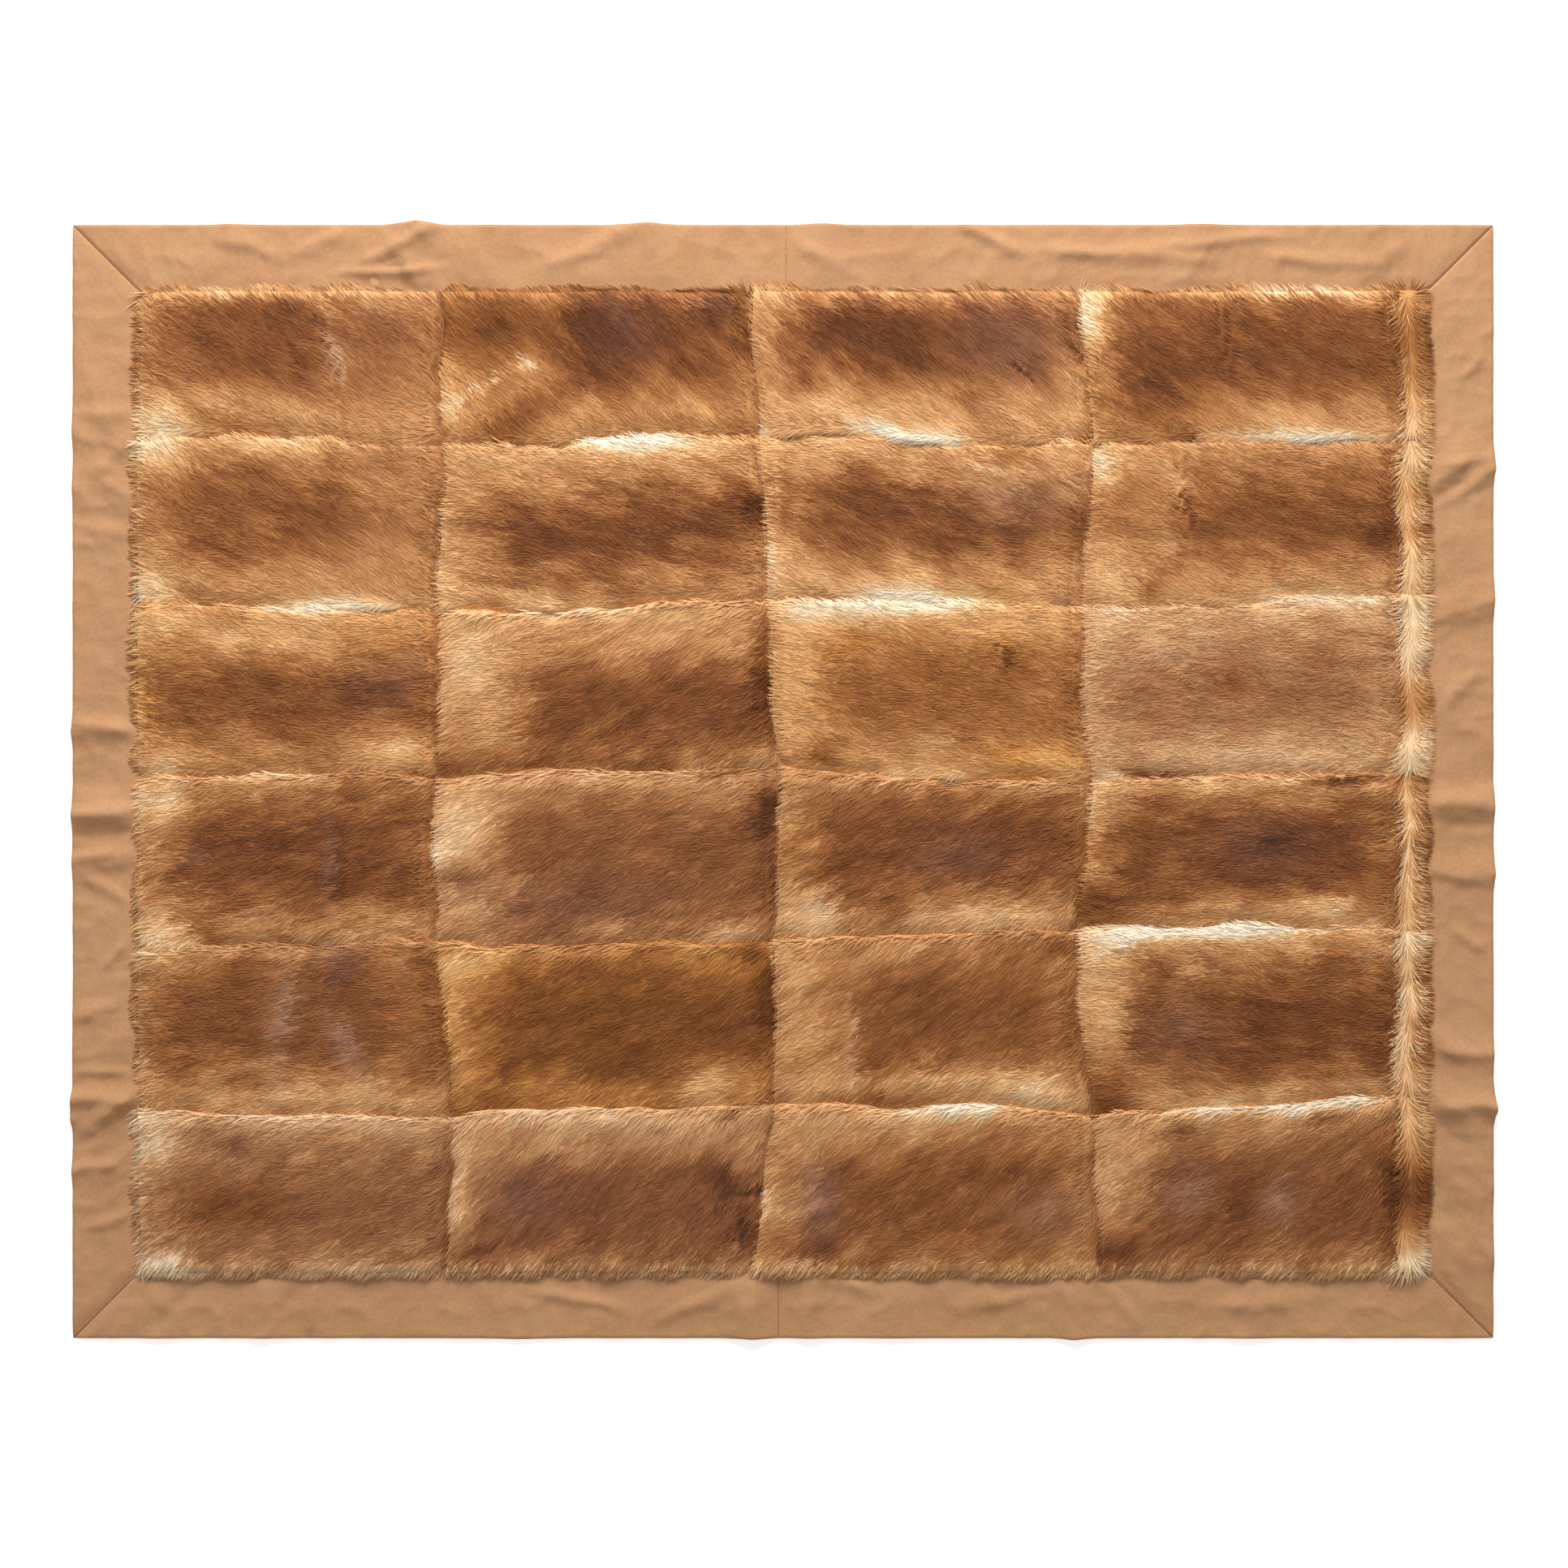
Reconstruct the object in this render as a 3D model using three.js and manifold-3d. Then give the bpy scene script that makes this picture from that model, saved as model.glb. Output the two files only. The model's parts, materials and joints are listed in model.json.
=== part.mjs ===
// A patchwork fur throw, lying flat with its fur side up. Twenty-four dressed pelts are sewn in
// six rows of four, with a narrow strip of longer fur down the right-hand edge. A wool cloth,
// folded over from the back, frames them with a border whose four corners are mitred.
// Millimetres, +Z up. The origin is under the middle of the throw, and +Y is its upper long edge.
import * as THREE from "three";
import { mergeVertices } from "three/addons/utils/BufferGeometryUtils.js";
import Module from "manifold-3d";

const wasm = await Module();
wasm.setup();

// Driving sizes.
const THROW_LENGTH = 1800;
const THROW_WIDTH = 1410;
const BORDER = 88; // from the outer fold of the cloth to the edge of the leather
const CLOTH = 2.6; // two layers of wool cloth
const PILE_AT_SEAM = 7; // height of the fur where two pelts meet
const PILE_AT_CROWN = 12.5; // and over the middle of a pelt
const PILE_AT_EDGE = 6.5; // and where it hangs over the border
const GAP = 0.4; // left between two pieces that are sewn together

// The outer fur hangs over the border by the overhang, and its locks reach further still. A lock
// leans sideways by its sway, and from one to the next by up to its stray.
const OVERHANG = 6;
const OVERHANG_CLEARS = CLOTH + 1.4;
const LOCK = { pitch: 27, reach: 11, halfWidth: 8, rootDepth: 7, tipDrop: 1.9, lift: 0.5 };
const LOCK_LEAN = { sway: 5, stray: 3, leastSize: 0.6 };

// Faces across and along a pelt and a strip piece, and how far in from its edge the crown starts.
const PELT_GRID = { across: 12, along: 7, crownReach: 30 };
const STRIP_GRID = { across: 2, along: 7, crownReach: 12 };

// The fur lies in broad and fine lumps, and its seams bow and wave between their ends.
const LUMPS = { broad: 1.1, fine: 0.7 };
const SEAM_BOW = 4;
const SEAM_WAVE = 2.5;

const COLOURS = { russet: 0x945b36, amber: 0xe3c09c, cloth: 0xd19e75 };

// Where the seams between the columns run: their x at the top edge, at each row seam and at the
// bottom edge.
const COLUMN_SEAMS = [
  { after: "c1", top: -431, r1: -426, r2: -434, r3: -439, r4: -435, r5: -419, bottom: -426 },
  { after: "c2", top: -36, r1: -28, r2: -20, r3: 0, r4: -10, r5: -10, bottom: -36 },
  { after: "c3", top: 374, r1: 392, r2: 382, r3: 391, r4: 374, r5: 395, bottom: 403 },
  { after: "c4", top: 782, r1: 784, r2: 783, r3: 782, r4: 784, r5: 778, bottom: 778 },
];

// Where the seams between the rows run: their y at the left edge, at each column seam and at the
// right edge.
const ROW_SEAMS = [
  { after: "r1", left: 431, c1: 426, c2: 439, c3: 426, c4: 434, right: 434 },
  { after: "r2", left: 224, c1: 218, c2: 225, c3: 218, c4: 234, right: 236 },
  { after: "r3", left: 3, c1: 6, c2: 13, c3: 1, c4: 10, right: 8 },
  { after: "r4", left: -213, c1: -207, c2: -199, c3: -189, c4: -184, right: -186 },
  { after: "r5", left: -413, c1: -423, c2: -409, c3: -422, c4: -394, right: -396 },
];
const ROWS = ROW_SEAMS.length + 1;
const COLUMNS = COLUMN_SEAMS.length + 1; // the last one is the narrow strip

// The ripples of the border. `at` runs anticlockwise along the side from its first corner,
// `lean` is how far the crest has moved along by the inner edge, and `bulge` pushes the fold out.
const RIPPLES = {
  bottom: [
    { at: 109, height: 3, halfWidth: 16, lean: 0, bulge: 0 },
    { at: 238, height: 4, halfWidth: 18, lean: 16, bulge: 0 },
    { at: 563, height: 2.5, halfWidth: 32, lean: 10, bulge: 1 },
    { at: 862, height: 7, halfWidth: 20, lean: -12, bulge: 1 },
    { at: 930, height: 5, halfWidth: 14, lean: 8, bulge: 0 },
    { at: 1037, height: 3, halfWidth: 26, lean: -20, bulge: 0 },
    { at: 1269, height: 5, halfWidth: 14, lean: -8, bulge: 2 },
    { at: 1480, height: 2.5, halfWidth: 30, lean: 10, bulge: 0 },
  ],
  right: [
    { at: 105, height: 5, halfWidth: 15, lean: 24, bulge: 0 },
    { at: 193, height: 3, halfWidth: 14, lean: 0, bulge: 0 },
    { at: 296, height: 8, halfWidth: 14, lean: 4, bulge: 4 },
    { at: 363, height: 5, halfWidth: 14, lean: 6, bulge: 0 },
    { at: 593, height: 6, halfWidth: 13, lean: -6, bulge: 2 },
    { at: 677, height: 7, halfWidth: 14, lean: -2, bulge: 1 },
    { at: 940, height: 5, halfWidth: 17, lean: -22, bulge: 1 },
    { at: 1108, height: 7, halfWidth: 13, lean: 8, bulge: 2 },
  ],
  top: [
    { at: 144, height: 3, halfWidth: 20, lean: 10, bulge: 0 },
    { at: 371, height: 4, halfWidth: 28, lean: 20, bulge: 1 },
    { at: 560, height: 3, halfWidth: 30, lean: -14, bulge: 0 },
    { at: 850, height: 3, halfWidth: 24, lean: 10, bulge: 2 },
    { at: 1072, height: 4, halfWidth: 24, lean: -16, bulge: 3 },
    { at: 1278, height: 4, halfWidth: 26, lean: 14, bulge: 0 },
    { at: 1365, height: 8, halfWidth: 20, lean: 16, bulge: 5 },
    { at: 1600, height: 2.5, halfWidth: 26, lean: 0, bulge: 1 },
  ],
  left: [
    { at: 255, height: 4, halfWidth: 15, lean: 6, bulge: 1 },
    { at: 331, height: 5, halfWidth: 16, lean: -6, bulge: 0 },
    { at: 640, height: 3, halfWidth: 12, lean: 8, bulge: 2 },
    { at: 743, height: 6, halfWidth: 16, lean: 0, bulge: 1 },
    { at: 805, height: 4, halfWidth: 12, lean: -4, bulge: 1 },
    { at: 1042, height: 3, halfWidth: 24, lean: 18, bulge: 0 },
    { at: 1119, height: 9, halfWidth: 13, lean: 2, bulge: 5 },
    { at: 1197, height: 4, halfWidth: 12, lean: -6, bulge: 1 },
  ],
};
const FLAT_STEP = 75; // spacing of the border's sections where it lies flat
const LEAST_STEP = 7; // and no two are closer than this
const CREST_SECTIONS = [-2.1, -0.9, 0, 0.9, 2.1]; // sections across a ripple, in half-widths
const ACROSS = [0, 44, 70, BORDER]; // sections across the border, from its outer fold
const FLAT_FROM = 70; // the ripples have died away here, under the overhang of the fur

const halfLength = THROW_LENGTH / 2;
const halfWidth = THROW_WIDTH / 2;
const furRight = halfLength - BORDER;
const furTop = halfWidth - BORDER;

const material = (name, color, roughness) =>
  new THREE.MeshStandardMaterial({ name, color, roughness, metalness: 0 });
const russetFur = material("russet_fur", COLOURS.russet, 0.8);
const amberFur = material("amber_fur", COLOURS.amber, 0.8);
const woolCloth = material("wool_cloth", COLOURS.cloth, 0.95);

const mix = (a, b, t) => a + (b - a) * t;
const clamp01 = (t) => Math.min(1, Math.max(0, t));
const ease = (t) => clamp01(t) ** 2 * (3 - 2 * clamp01(t));

function geometryOf(points, triangles) {
  const geometry = new THREE.BufferGeometry();
  geometry.setAttribute("position", new THREE.Float32BufferAttribute(points.flat(), 3));
  geometry.setIndex(triangles.flat());
  return geometry;
}

function solidOf(geometry) {
  const merged = mergeVertices(geometry, 1e-3);
  return new wasm.Manifold(
    new wasm.Mesh({
      numProp: 3,
      vertProperties: merged.attributes.position.array,
      triVerts: new Uint32Array(merged.index.array),
    }),
  );
}

function geometryFromSolid(solid) {
  const mesh = solid.getMesh();
  const geometry = new THREE.BufferGeometry();
  geometry.setAttribute("position", new THREE.Float32BufferAttribute(mesh.vertProperties, 3));
  geometry.setIndex(new THREE.Uint32BufferAttribute(mesh.triVerts, 1));
  return geometry;
}

// Upward triangles of a grid whose point (i, j) has the index i * (nv + 1) + j.
function gridTriangles(nu, nv) {
  const triangles = [];
  for (let i = 0; i < nu; i++) {
    for (let j = 0; j < nv; j++) {
      const [a, d] = [i * (nv + 1) + j, i * (nv + 1) + j + 1];
      const [b, c] = [a + nv + 1, d + nv + 1];
      triangles.push([a, b, c], [a, c, d]);
    }
  }
  return triangles;
}

// The grid places round its rim, anticlockwise from (0, 0).
function rimOf(nu, nv) {
  const rim = [];
  for (let i = 0; i < nu; i++) rim.push([i, 0]);
  for (let j = 0; j < nv; j++) rim.push([nu, j]);
  for (let i = nu; i > 0; i--) rim.push([i, nv]);
  for (let j = nv; j > 0; j--) rim.push([0, j]);
  return rim;
}

// Triangles of the wall between two rings of indices, the upper one first. Its diagonals all rise
// towards -X and -Y, so that two pieces have the same facets on either side of their seam.
function wallTriangles(upper, lower, points) {
  const sum = (n) => points[n][0] + points[n][1];
  return upper.flatMap((from, k) => {
    const next = (k + 1) % upper.length;
    return sum(from) < sum(upper[next])
      ? [
          [from, lower[k], lower[next]],
          [from, lower[next], upper[next]],
        ]
      : [
          [from, lower[k], upper[next]],
          [upper[next], lower[k], lower[next]],
        ];
  });
}

// How far a seam strays from the straight line between its two ends, at t along it.
function stray(t, row, column) {
  const bow = SEAM_BOW * Math.sin(2.3 * row + 1.7 * column) * Math.sin(Math.PI * t);
  const wave = SEAM_WAVE * Math.sin(1.1 * row + 2.9 * column) * Math.sin(2 * Math.PI * t);
  return bow + wave;
}

// The corner where row seam `row` meets column seam `column`, both counted from the top left.
function corner(row, column) {
  const places = ["top", "r1", "r2", "r3", "r4", "r5", "bottom"];
  const spots = ["left", "c1", "c2", "c3", "c4", "right"];
  const inX = column > 0 && column < COLUMNS;
  const inY = row > 0 && row < ROWS;
  return [
    inX ? COLUMN_SEAMS[column - 1][places[row]] : column === 0 ? -furRight : furRight,
    inY ? ROW_SEAMS[row - 1][spots[column]] : row === 0 ? furTop : -furTop,
  ];
}

// A point on row seam `row` between two column seams, or on column seam `column` between two
// row seams. The outer edges of the fur are straight.
function onRowSeam(row, column, t) {
  const [a, b] = [corner(row, column), corner(row, column + 1)];
  const off = row > 0 && row < ROWS ? stray(t, row, column) : 0;
  return [mix(a[0], b[0], t), mix(a[1], b[1], t) + off];
}

function onColumnSeam(row, column, t) {
  const [a, b] = [corner(row + 1, column), corner(row, column)];
  const off = column > 0 && column < COLUMNS ? stray(t, row, column + 5) : 0;
  return [mix(a[0], b[0], t) + off, mix(a[1], b[1], t)];
}

// The leather of one pelt, from u = 0 at its left to 1 and from v = 0 at its foot to 1, drawn in
// from the seams by half of the gap.
function onLeather(row, column, u, v) {
  const [foot, head] = [onRowSeam(row + 1, column, u), onRowSeam(row, column, u)];
  const [left, right] = [onColumnSeam(row, column, v), onColumnSeam(row, column + 1, v)];
  const place = [0, 1].map((axis) => {
    const across = mix(left[axis], right[axis], u) + mix(foot[axis], head[axis], v);
    const footLine = mix(corner(row + 1, column)[axis], corner(row + 1, column + 1)[axis], u);
    const headLine = mix(corner(row, column)[axis], corner(row, column + 1)[axis], u);
    return across - mix(footLine, headLine, v);
  });
  return [place[0] + GAP * (0.5 - u), place[1] + GAP * (0.5 - v)];
}

// The uneven lie of the fur over the whole throw.
const lumps = (x, y) =>
  LUMPS.broad * Math.sin(x / 43 + 0.6 * Math.sin(y / 61)) * Math.cos(y / 37 + x / 210) +
  LUMPS.fine * Math.sin(x / 23 + y / 31);

// One pelt with its fur, fused with the locks that hang over the border.
function pelt(row, column) {
  const strip = column === COLUMNS - 1;
  const { across: nu, along: nv, crownReach } = strip ? STRIP_GRID : PELT_GRID;
  const outer = { left: column === 0, right: strip, top: row === 0, foot: row === ROWS - 1 };
  const top = [];
  const place = (i, j) => {
    const [x, y] = onLeather(row, column, i / nu, j / nv);
    const out = [
      (i === nu && outer.right) - (i === 0 && outer.left),
      (j === nv && outer.top) - (j === 0 && outer.foot),
    ];
    return { x, y, out };
  };
  const [width, depth] = [
    corner(row, column + 1)[0] - corner(row, column)[0],
    corner(row, column)[1] - corner(row + 1, column)[1],
  ];
  for (let i = 0; i <= nu; i++) {
    for (let j = 0; j <= nv; j++) {
      const { x, y, out } = place(i, j);
      const fromSide = Math.min(i, nu - i) * (width / nu);
      const fromEnd = Math.min(j, nv - j) * (depth / nv);
      const rise = ease(fromSide / crownReach) * ease(fromEnd / crownReach);
      const edge = out[0] || out[1] ? PILE_AT_EDGE : PILE_AT_SEAM;
      const z = mix(edge, PILE_AT_CROWN + lumps(x, y), rise);
      top.push([x + out[0] * OVERHANG, y + out[1] * OVERHANG, z]);
    }
  }
  const rim = rimOf(nu, nv);
  const ringAt = (z) => rim.map(([i, j]) => [place(i, j).x, place(i, j).y, z]);
  const outermost = Object.values(outer).some(Boolean);
  const rings = outermost ? [ringAt(OVERHANG_CLEARS), ringAt(0)] : [ringAt(0)];
  const points = [...top, ...rings.flat()];
  const triangles = gridTriangles(nu, nv);
  let upper = rim.map(([i, j]) => i * (nv + 1) + j);
  rings.forEach((ring, k) => {
    const lower = ring.map((_, n) => top.length + k * rim.length + n);
    triangles.push(...wallTriangles(upper, lower, points));
    upper = lower;
  });
  const outline = ringAt(0).map(([x, y]) => new THREE.Vector2(x, y));
  for (const [a, b, c] of THREE.ShapeUtils.triangulateShape(outline, []))
    triangles.push([upper[a], upper[c], upper[b]]);
  let solid = solidOf(geometryOf(points, triangles));
  for (const tuft of locksOf(row, column, outer)) solid = solid.add(tuft);
  return geometryFromSolid(solid);
}

// A three-sided lock of fur, rooted in the overhang and pointing out over the border.
function lock(x, y, out, sway, size) {
  const along = [-out[1], out[0]];
  const at = (outward, sideways, z) => [
    x + out[0] * outward + along[0] * sideways,
    y + out[1] * outward + along[1] * sideways,
    z,
  ];
  const halfRoot = LOCK.halfWidth * size;
  const low = OVERHANG_CLEARS + LOCK.lift;
  const points = [
    at(-LOCK.rootDepth, -halfRoot, low),
    at(-LOCK.rootDepth, halfRoot, low),
    at(-LOCK.rootDepth, 0, PILE_AT_SEAM),
    at(OVERHANG + LOCK.reach * size, sway, PILE_AT_EDGE - LOCK.tipDrop),
  ];
  const faces = [
    [0, 2, 1],
    [0, 1, 3],
    [1, 2, 3],
    [2, 0, 3],
  ];
  return solidOf(geometryOf(points, faces));
}

// The fur lies to the left, fanning up in the upper rows and down in the lower ones, and its
// outermost locks follow that lie.
function locksOf(row, column, outer) {
  const { sway: most, stray: uneven, leastSize } = LOCK_LEAN;
  const lean = mix(most, -most, row / (ROWS - 1));
  const sides = [
    { is: outer.left, from: [0, 0], to: [0, 1], out: [-1, 0], sway: -lean },
    { is: outer.right, from: [1, 0], to: [1, 1], out: [1, 0], sway: lean },
    { is: outer.top, from: [0, 1], to: [1, 1], out: [0, 1], sway: most },
    { is: outer.foot, from: [0, 0], to: [1, 0], out: [0, -1], sway: -most },
  ];
  return sides
    .filter((side) => side.is)
    .flatMap(({ from, to, out, sway }) => {
      const [a, b] = [from, to].map(([u, v]) => onLeather(row, column, u, v));
      const length = Math.hypot(b[0] - a[0], b[1] - a[1]);
      const count = Math.max(1, Math.round(length / LOCK.pitch));
      return Array.from({ length: count }, (_, k) => {
        const t = (k + 0.5) / count;
        const vary = Math.sin(7.3 * k + 2.1 * row + 4.7 * column);
        const size = mix(leastSize, 1, (vary + 1) / 2);
        return lock(mix(a[0], b[0], t), mix(a[1], b[1], t), out, sway + uneven * vary, size);
      });
    });
}

// The four sides of the border, each running anticlockwise from its first corner.
const SIDES = {
  bottom: { start: [-halfLength, -halfWidth], along: [1, 0], length: THROW_LENGTH },
  right: { start: [halfLength, -halfWidth], along: [0, 1], length: THROW_WIDTH },
  top: { start: [halfLength, halfWidth], along: [-1, 0], length: THROW_LENGTH },
  left: { start: [-halfLength, halfWidth], along: [0, -1], length: THROW_WIDTH },
};

// The cloth of each side, cut at the mitres and, on the long sides, at the seam near the middle.
const MIDDLE_SEAM = { bottom: 894, top: 896 };
const CUTS = [
  { name: "border_bottom_left", side: "bottom", from: 0, to: MIDDLE_SEAM.bottom },
  { name: "border_bottom_right", side: "bottom", from: MIDDLE_SEAM.bottom, to: THROW_LENGTH },
  { name: "border_right", side: "right", from: 0, to: THROW_WIDTH },
  { name: "border_top_right", side: "top", from: 0, to: MIDDLE_SEAM.top },
  { name: "border_top_left", side: "top", from: MIDDLE_SEAM.top, to: THROW_LENGTH },
  { name: "border_left", side: "left", from: 0, to: THROW_WIDTH },
];

const crest = (ripple, at, across) =>
  Math.exp(-(((at - ripple.at - (ripple.lean * across) / BORDER) / ripple.halfWidth) ** 2));

// Places along the side where the cloth needs a section, at its outer fold.
function sectionsOf({ side, from, to }) {
  const places = [from, to];
  const flats = Math.round((to - from) / FLAT_STEP);
  for (let k = 1; k < flats; k++) places.push(mix(from, to, k / flats));
  for (const ripple of RIPPLES[side])
    for (const c of CREST_SECTIONS) places.push(ripple.at + c * ripple.halfWidth);
  return places
    .filter((s) => s === from || s === to || (s > from + LEAST_STEP && s < to - LEAST_STEP))
    .sort((a, b) => a - b)
    .filter((s, k, all) => k === 0 || s === to || s - all[k - 1] > LEAST_STEP);
}

function clothStrip(cut) {
  const { start, along, length } = SIDES[cut.side];
  const inward = [-along[1], along[0]];
  const sections = sectionsOf(cut);
  const [nu, nv] = [sections.length - 1, ACROSS.length - 1];
  const [upper, lower] = [[], []];
  for (const s of sections) {
    for (const across of ACROSS) {
      const first = cut.from === 0 ? across + GAP : cut.from + GAP / 2;
      const last = cut.to === length ? length - across - GAP : cut.to - GAP / 2;
      const at = mix(first, last, (s - cut.from) / (cut.to - cut.from));
      const fade = 1 - ease((across - ACROSS[1]) / (FLAT_FROM - ACROSS[1]));
      const ripples = RIPPLES[cut.side];
      const lift = ripples.reduce((z, r) => z + r.height * crest(r, at, across), 0) * fade;
      const bulge = ripples.reduce((b, r) => b + r.bulge * crest(r, at, across), 0);
      const inset = across === BORDER ? across - GAP : across - bulge * (1 - across / BORDER);
      const x = start[0] + along[0] * at + inward[0] * inset;
      const y = start[1] + along[1] * at + inward[1] * inset;
      upper.push([x, y, lift + CLOTH]);
      lower.push([x, y, lift]);
    }
  }
  const shift = upper.length;
  const rim = rimOf(nu, nv).map(([i, j]) => i * (nv + 1) + j);
  const top = gridTriangles(nu, nv);
  const under = top.map(([a, b, c]) => [a + shift, c + shift, b + shift]);
  const points = [...upper, ...lower];
  const wall = wallTriangles(rim, rim.map((n) => n + shift), points);
  return geometryOf(points, [...top, ...under, ...wall]);
}

const fur = new THREE.Group();
for (let row = 0; row < ROWS; row++) {
  for (let column = 0; column < COLUMNS; column++) {
    const strip = column === COLUMNS - 1;
    const mesh = new THREE.Mesh(pelt(row, column), strip ? amberFur : russetFur);
    mesh.name = strip ? `edge_strip_r${row + 1}` : `pelt_r${row + 1}_c${column + 1}`;
    fur.add(mesh);
  }
}

const border = new THREE.Group();
for (const cut of CUTS) {
  const mesh = new THREE.Mesh(clothStrip(cut), woolCloth);
  mesh.name = cut.name;
  border.add(mesh);
}

// The bulges of the folds differ from side to side, so the whole is set over the origin.
const throwGroup = new THREE.Group();
throwGroup.add(fur, border);
const bounds = new THREE.Box3().setFromObject(throwGroup);
const middle = bounds.getCenter(new THREE.Vector3());
throwGroup.position.set(-middle.x, -middle.y, 0);

export default throwGroup;
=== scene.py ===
# %% [markdown]
# This is a patchwork fur throw, lying flat with its fur side up and seen from straight above. A
# furrier cuts dressed pelts to like rectangles, sews them in rows, and frames them with cloth.
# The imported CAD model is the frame: every piece here takes its place from a CAD node, so that
# nothing has to be fitted. Blender adds what the solids can't hold, which is the hair itself, its
# colours, and the folds, weave and stitches of the cloth.

# %% Load the frame
import json
import math

import bpy
import numpy as np
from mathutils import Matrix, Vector

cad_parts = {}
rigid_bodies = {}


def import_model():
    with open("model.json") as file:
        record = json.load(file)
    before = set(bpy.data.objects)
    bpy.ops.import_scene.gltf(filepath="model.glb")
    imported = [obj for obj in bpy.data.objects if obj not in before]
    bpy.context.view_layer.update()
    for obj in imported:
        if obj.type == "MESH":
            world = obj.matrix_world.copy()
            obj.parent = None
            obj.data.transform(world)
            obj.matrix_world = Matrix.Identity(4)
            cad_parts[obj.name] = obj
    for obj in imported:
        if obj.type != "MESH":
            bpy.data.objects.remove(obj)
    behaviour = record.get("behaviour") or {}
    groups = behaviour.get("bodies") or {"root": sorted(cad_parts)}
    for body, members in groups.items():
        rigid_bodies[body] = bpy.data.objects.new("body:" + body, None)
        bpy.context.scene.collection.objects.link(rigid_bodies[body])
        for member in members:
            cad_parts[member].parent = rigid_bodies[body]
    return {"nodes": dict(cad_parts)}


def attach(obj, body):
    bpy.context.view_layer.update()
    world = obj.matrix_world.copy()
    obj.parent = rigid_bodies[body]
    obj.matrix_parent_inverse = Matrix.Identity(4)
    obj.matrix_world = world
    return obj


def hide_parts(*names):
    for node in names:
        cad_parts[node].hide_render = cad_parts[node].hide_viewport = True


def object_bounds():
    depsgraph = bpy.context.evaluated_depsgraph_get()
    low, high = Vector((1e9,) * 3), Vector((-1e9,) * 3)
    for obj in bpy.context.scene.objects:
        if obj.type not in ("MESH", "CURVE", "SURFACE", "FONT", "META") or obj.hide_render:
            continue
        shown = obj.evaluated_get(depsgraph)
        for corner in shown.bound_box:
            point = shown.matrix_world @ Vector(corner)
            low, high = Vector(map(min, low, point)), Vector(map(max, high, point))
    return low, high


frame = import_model()
CAD_LOW, CAD_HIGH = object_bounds()
scene = bpy.context.scene
MM = 0.001
print("The frame holds", len(frame["nodes"]), "nodes")

# %% [markdown]
# A few helpers serve the whole script. Colours are written as the hex codes that a picture editor
# shows, and Blender wants them linear. An object goes into the scene at once. A material starts as
# a Principled one. A node is always added with its settings and its links in one call. Fur, leather
# and cloth all need smooth unevenness, which is random numbers on a lattice with an eased blend
# between them.


# %% Helpers for colours, objects, nodes and unevenness
def colour(code):
    """Linear red, green, blue and alpha of an sRGB hex code."""
    parts = [int(code[k : k + 2], 16) / 255 for k in (1, 3, 5)]
    return [p / 12.92 if p <= 0.04045 else ((p + 0.055) / 1.055) ** 2.4 for p in parts] + [1.0]


def new_object(name, data):
    """An object with this data, in the scene."""
    made = bpy.data.objects.new(name, data)
    scene.collection.objects.link(made)
    return made


def new_material(name, inputs):
    """A Principled material with these inputs set."""
    material = bpy.data.materials.new(name)
    material.use_nodes = True
    for key, value in inputs.items():
        material.node_tree.nodes["Principled BSDF"].inputs[key].default_value = value
    return material


def add_node(tree, kind, inputs=None, **settings):
    """A node of this kind. Its inputs are set, or linked to a socket or a node's first output."""
    node = tree.nodes.new(kind)
    for name, value in settings.items():
        setattr(node, name, value)
    for key, value in (inputs or {}).items():
        source = value.outputs[0] if isinstance(value, bpy.types.Node) else value
        if isinstance(source, bpy.types.NodeSocket):
            tree.links.new(source, node.inputs[key])
        else:
            node.inputs[key].default_value = source
    return node


def ease(t):
    """0 below 0, 1 above 1, and smooth between them."""
    t = np.clip(t, 0, 1)
    return t * t * (3 - 2 * t)


LATTICE = 64


def unevenness(x, y, size, seed):
    """Smooth noise from -1 to 1 that changes over about `size`, in the units of x and y."""
    table = np.random.default_rng(seed).uniform(-1, 1, (LATTICE, LATTICE))
    gx, gy = np.asarray(x) / size, np.asarray(y) / size
    ix, iy = np.floor(gx).astype(int), np.floor(gy).astype(int)
    fx, fy = ease(gx - ix), ease(gy - iy)

    def at(right, up):
        return table[(ix + right) % LATTICE, (iy + up) % LATTICE]

    low = at(0, 0) + (at(1, 0) - at(0, 0)) * fx
    high = at(0, 1) + (at(1, 1) - at(0, 1)) * fx
    return low + (high - low) * fy


# %% [markdown]
# The photograph looks straight down. A long lens from far above keeps the throw's edges parallel.
# The picture's side is worked out from the share of it that the throw fills, so that the render
# and the photograph can be laid over each other.

# %% Camera
PHOTO_SIDE = 1932
THROW_SPAN_PX = (88.7, 1842.7)  # the throw's left and right edge in the photograph
THROW_MIDDLE_PX = (965.7, 961.5)
LENS, SENSOR = 100, 36

metres_per_px = (CAD_HIGH.x - CAD_LOW.x) / (THROW_SPAN_PX[1] - THROW_SPAN_PX[0])
middle = (CAD_LOW + CAD_HIGH) / 2
camera = new_object("camera", bpy.data.cameras.new("camera"))
camera.data.lens, camera.data.sensor_width = LENS, SENSOR
camera.location = (
    middle.x + (PHOTO_SIDE / 2 - THROW_MIDDLE_PX[0]) * metres_per_px,
    middle.y - (PHOTO_SIDE / 2 - THROW_MIDDLE_PX[1]) * metres_per_px,
    PHOTO_SIDE * metres_per_px * LENS / SENSOR,
)
scene.camera = camera
print("The camera is", round(camera.location.z, 2), "m above the floor")

# %% [markdown]
# The light in the photograph is a large soft source beyond the throw's upper edge: the upper border
# is the brightest, each seam is shaded on its upper side, and the fur throws a soft shadow on the
# lower border. An area light gives that, and a white world fills the shadows. The Standard view
# keeps the colours as they are written. The paper backdrop glows a little, as if lit from behind,
# because it is white all over in the photograph.

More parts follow.
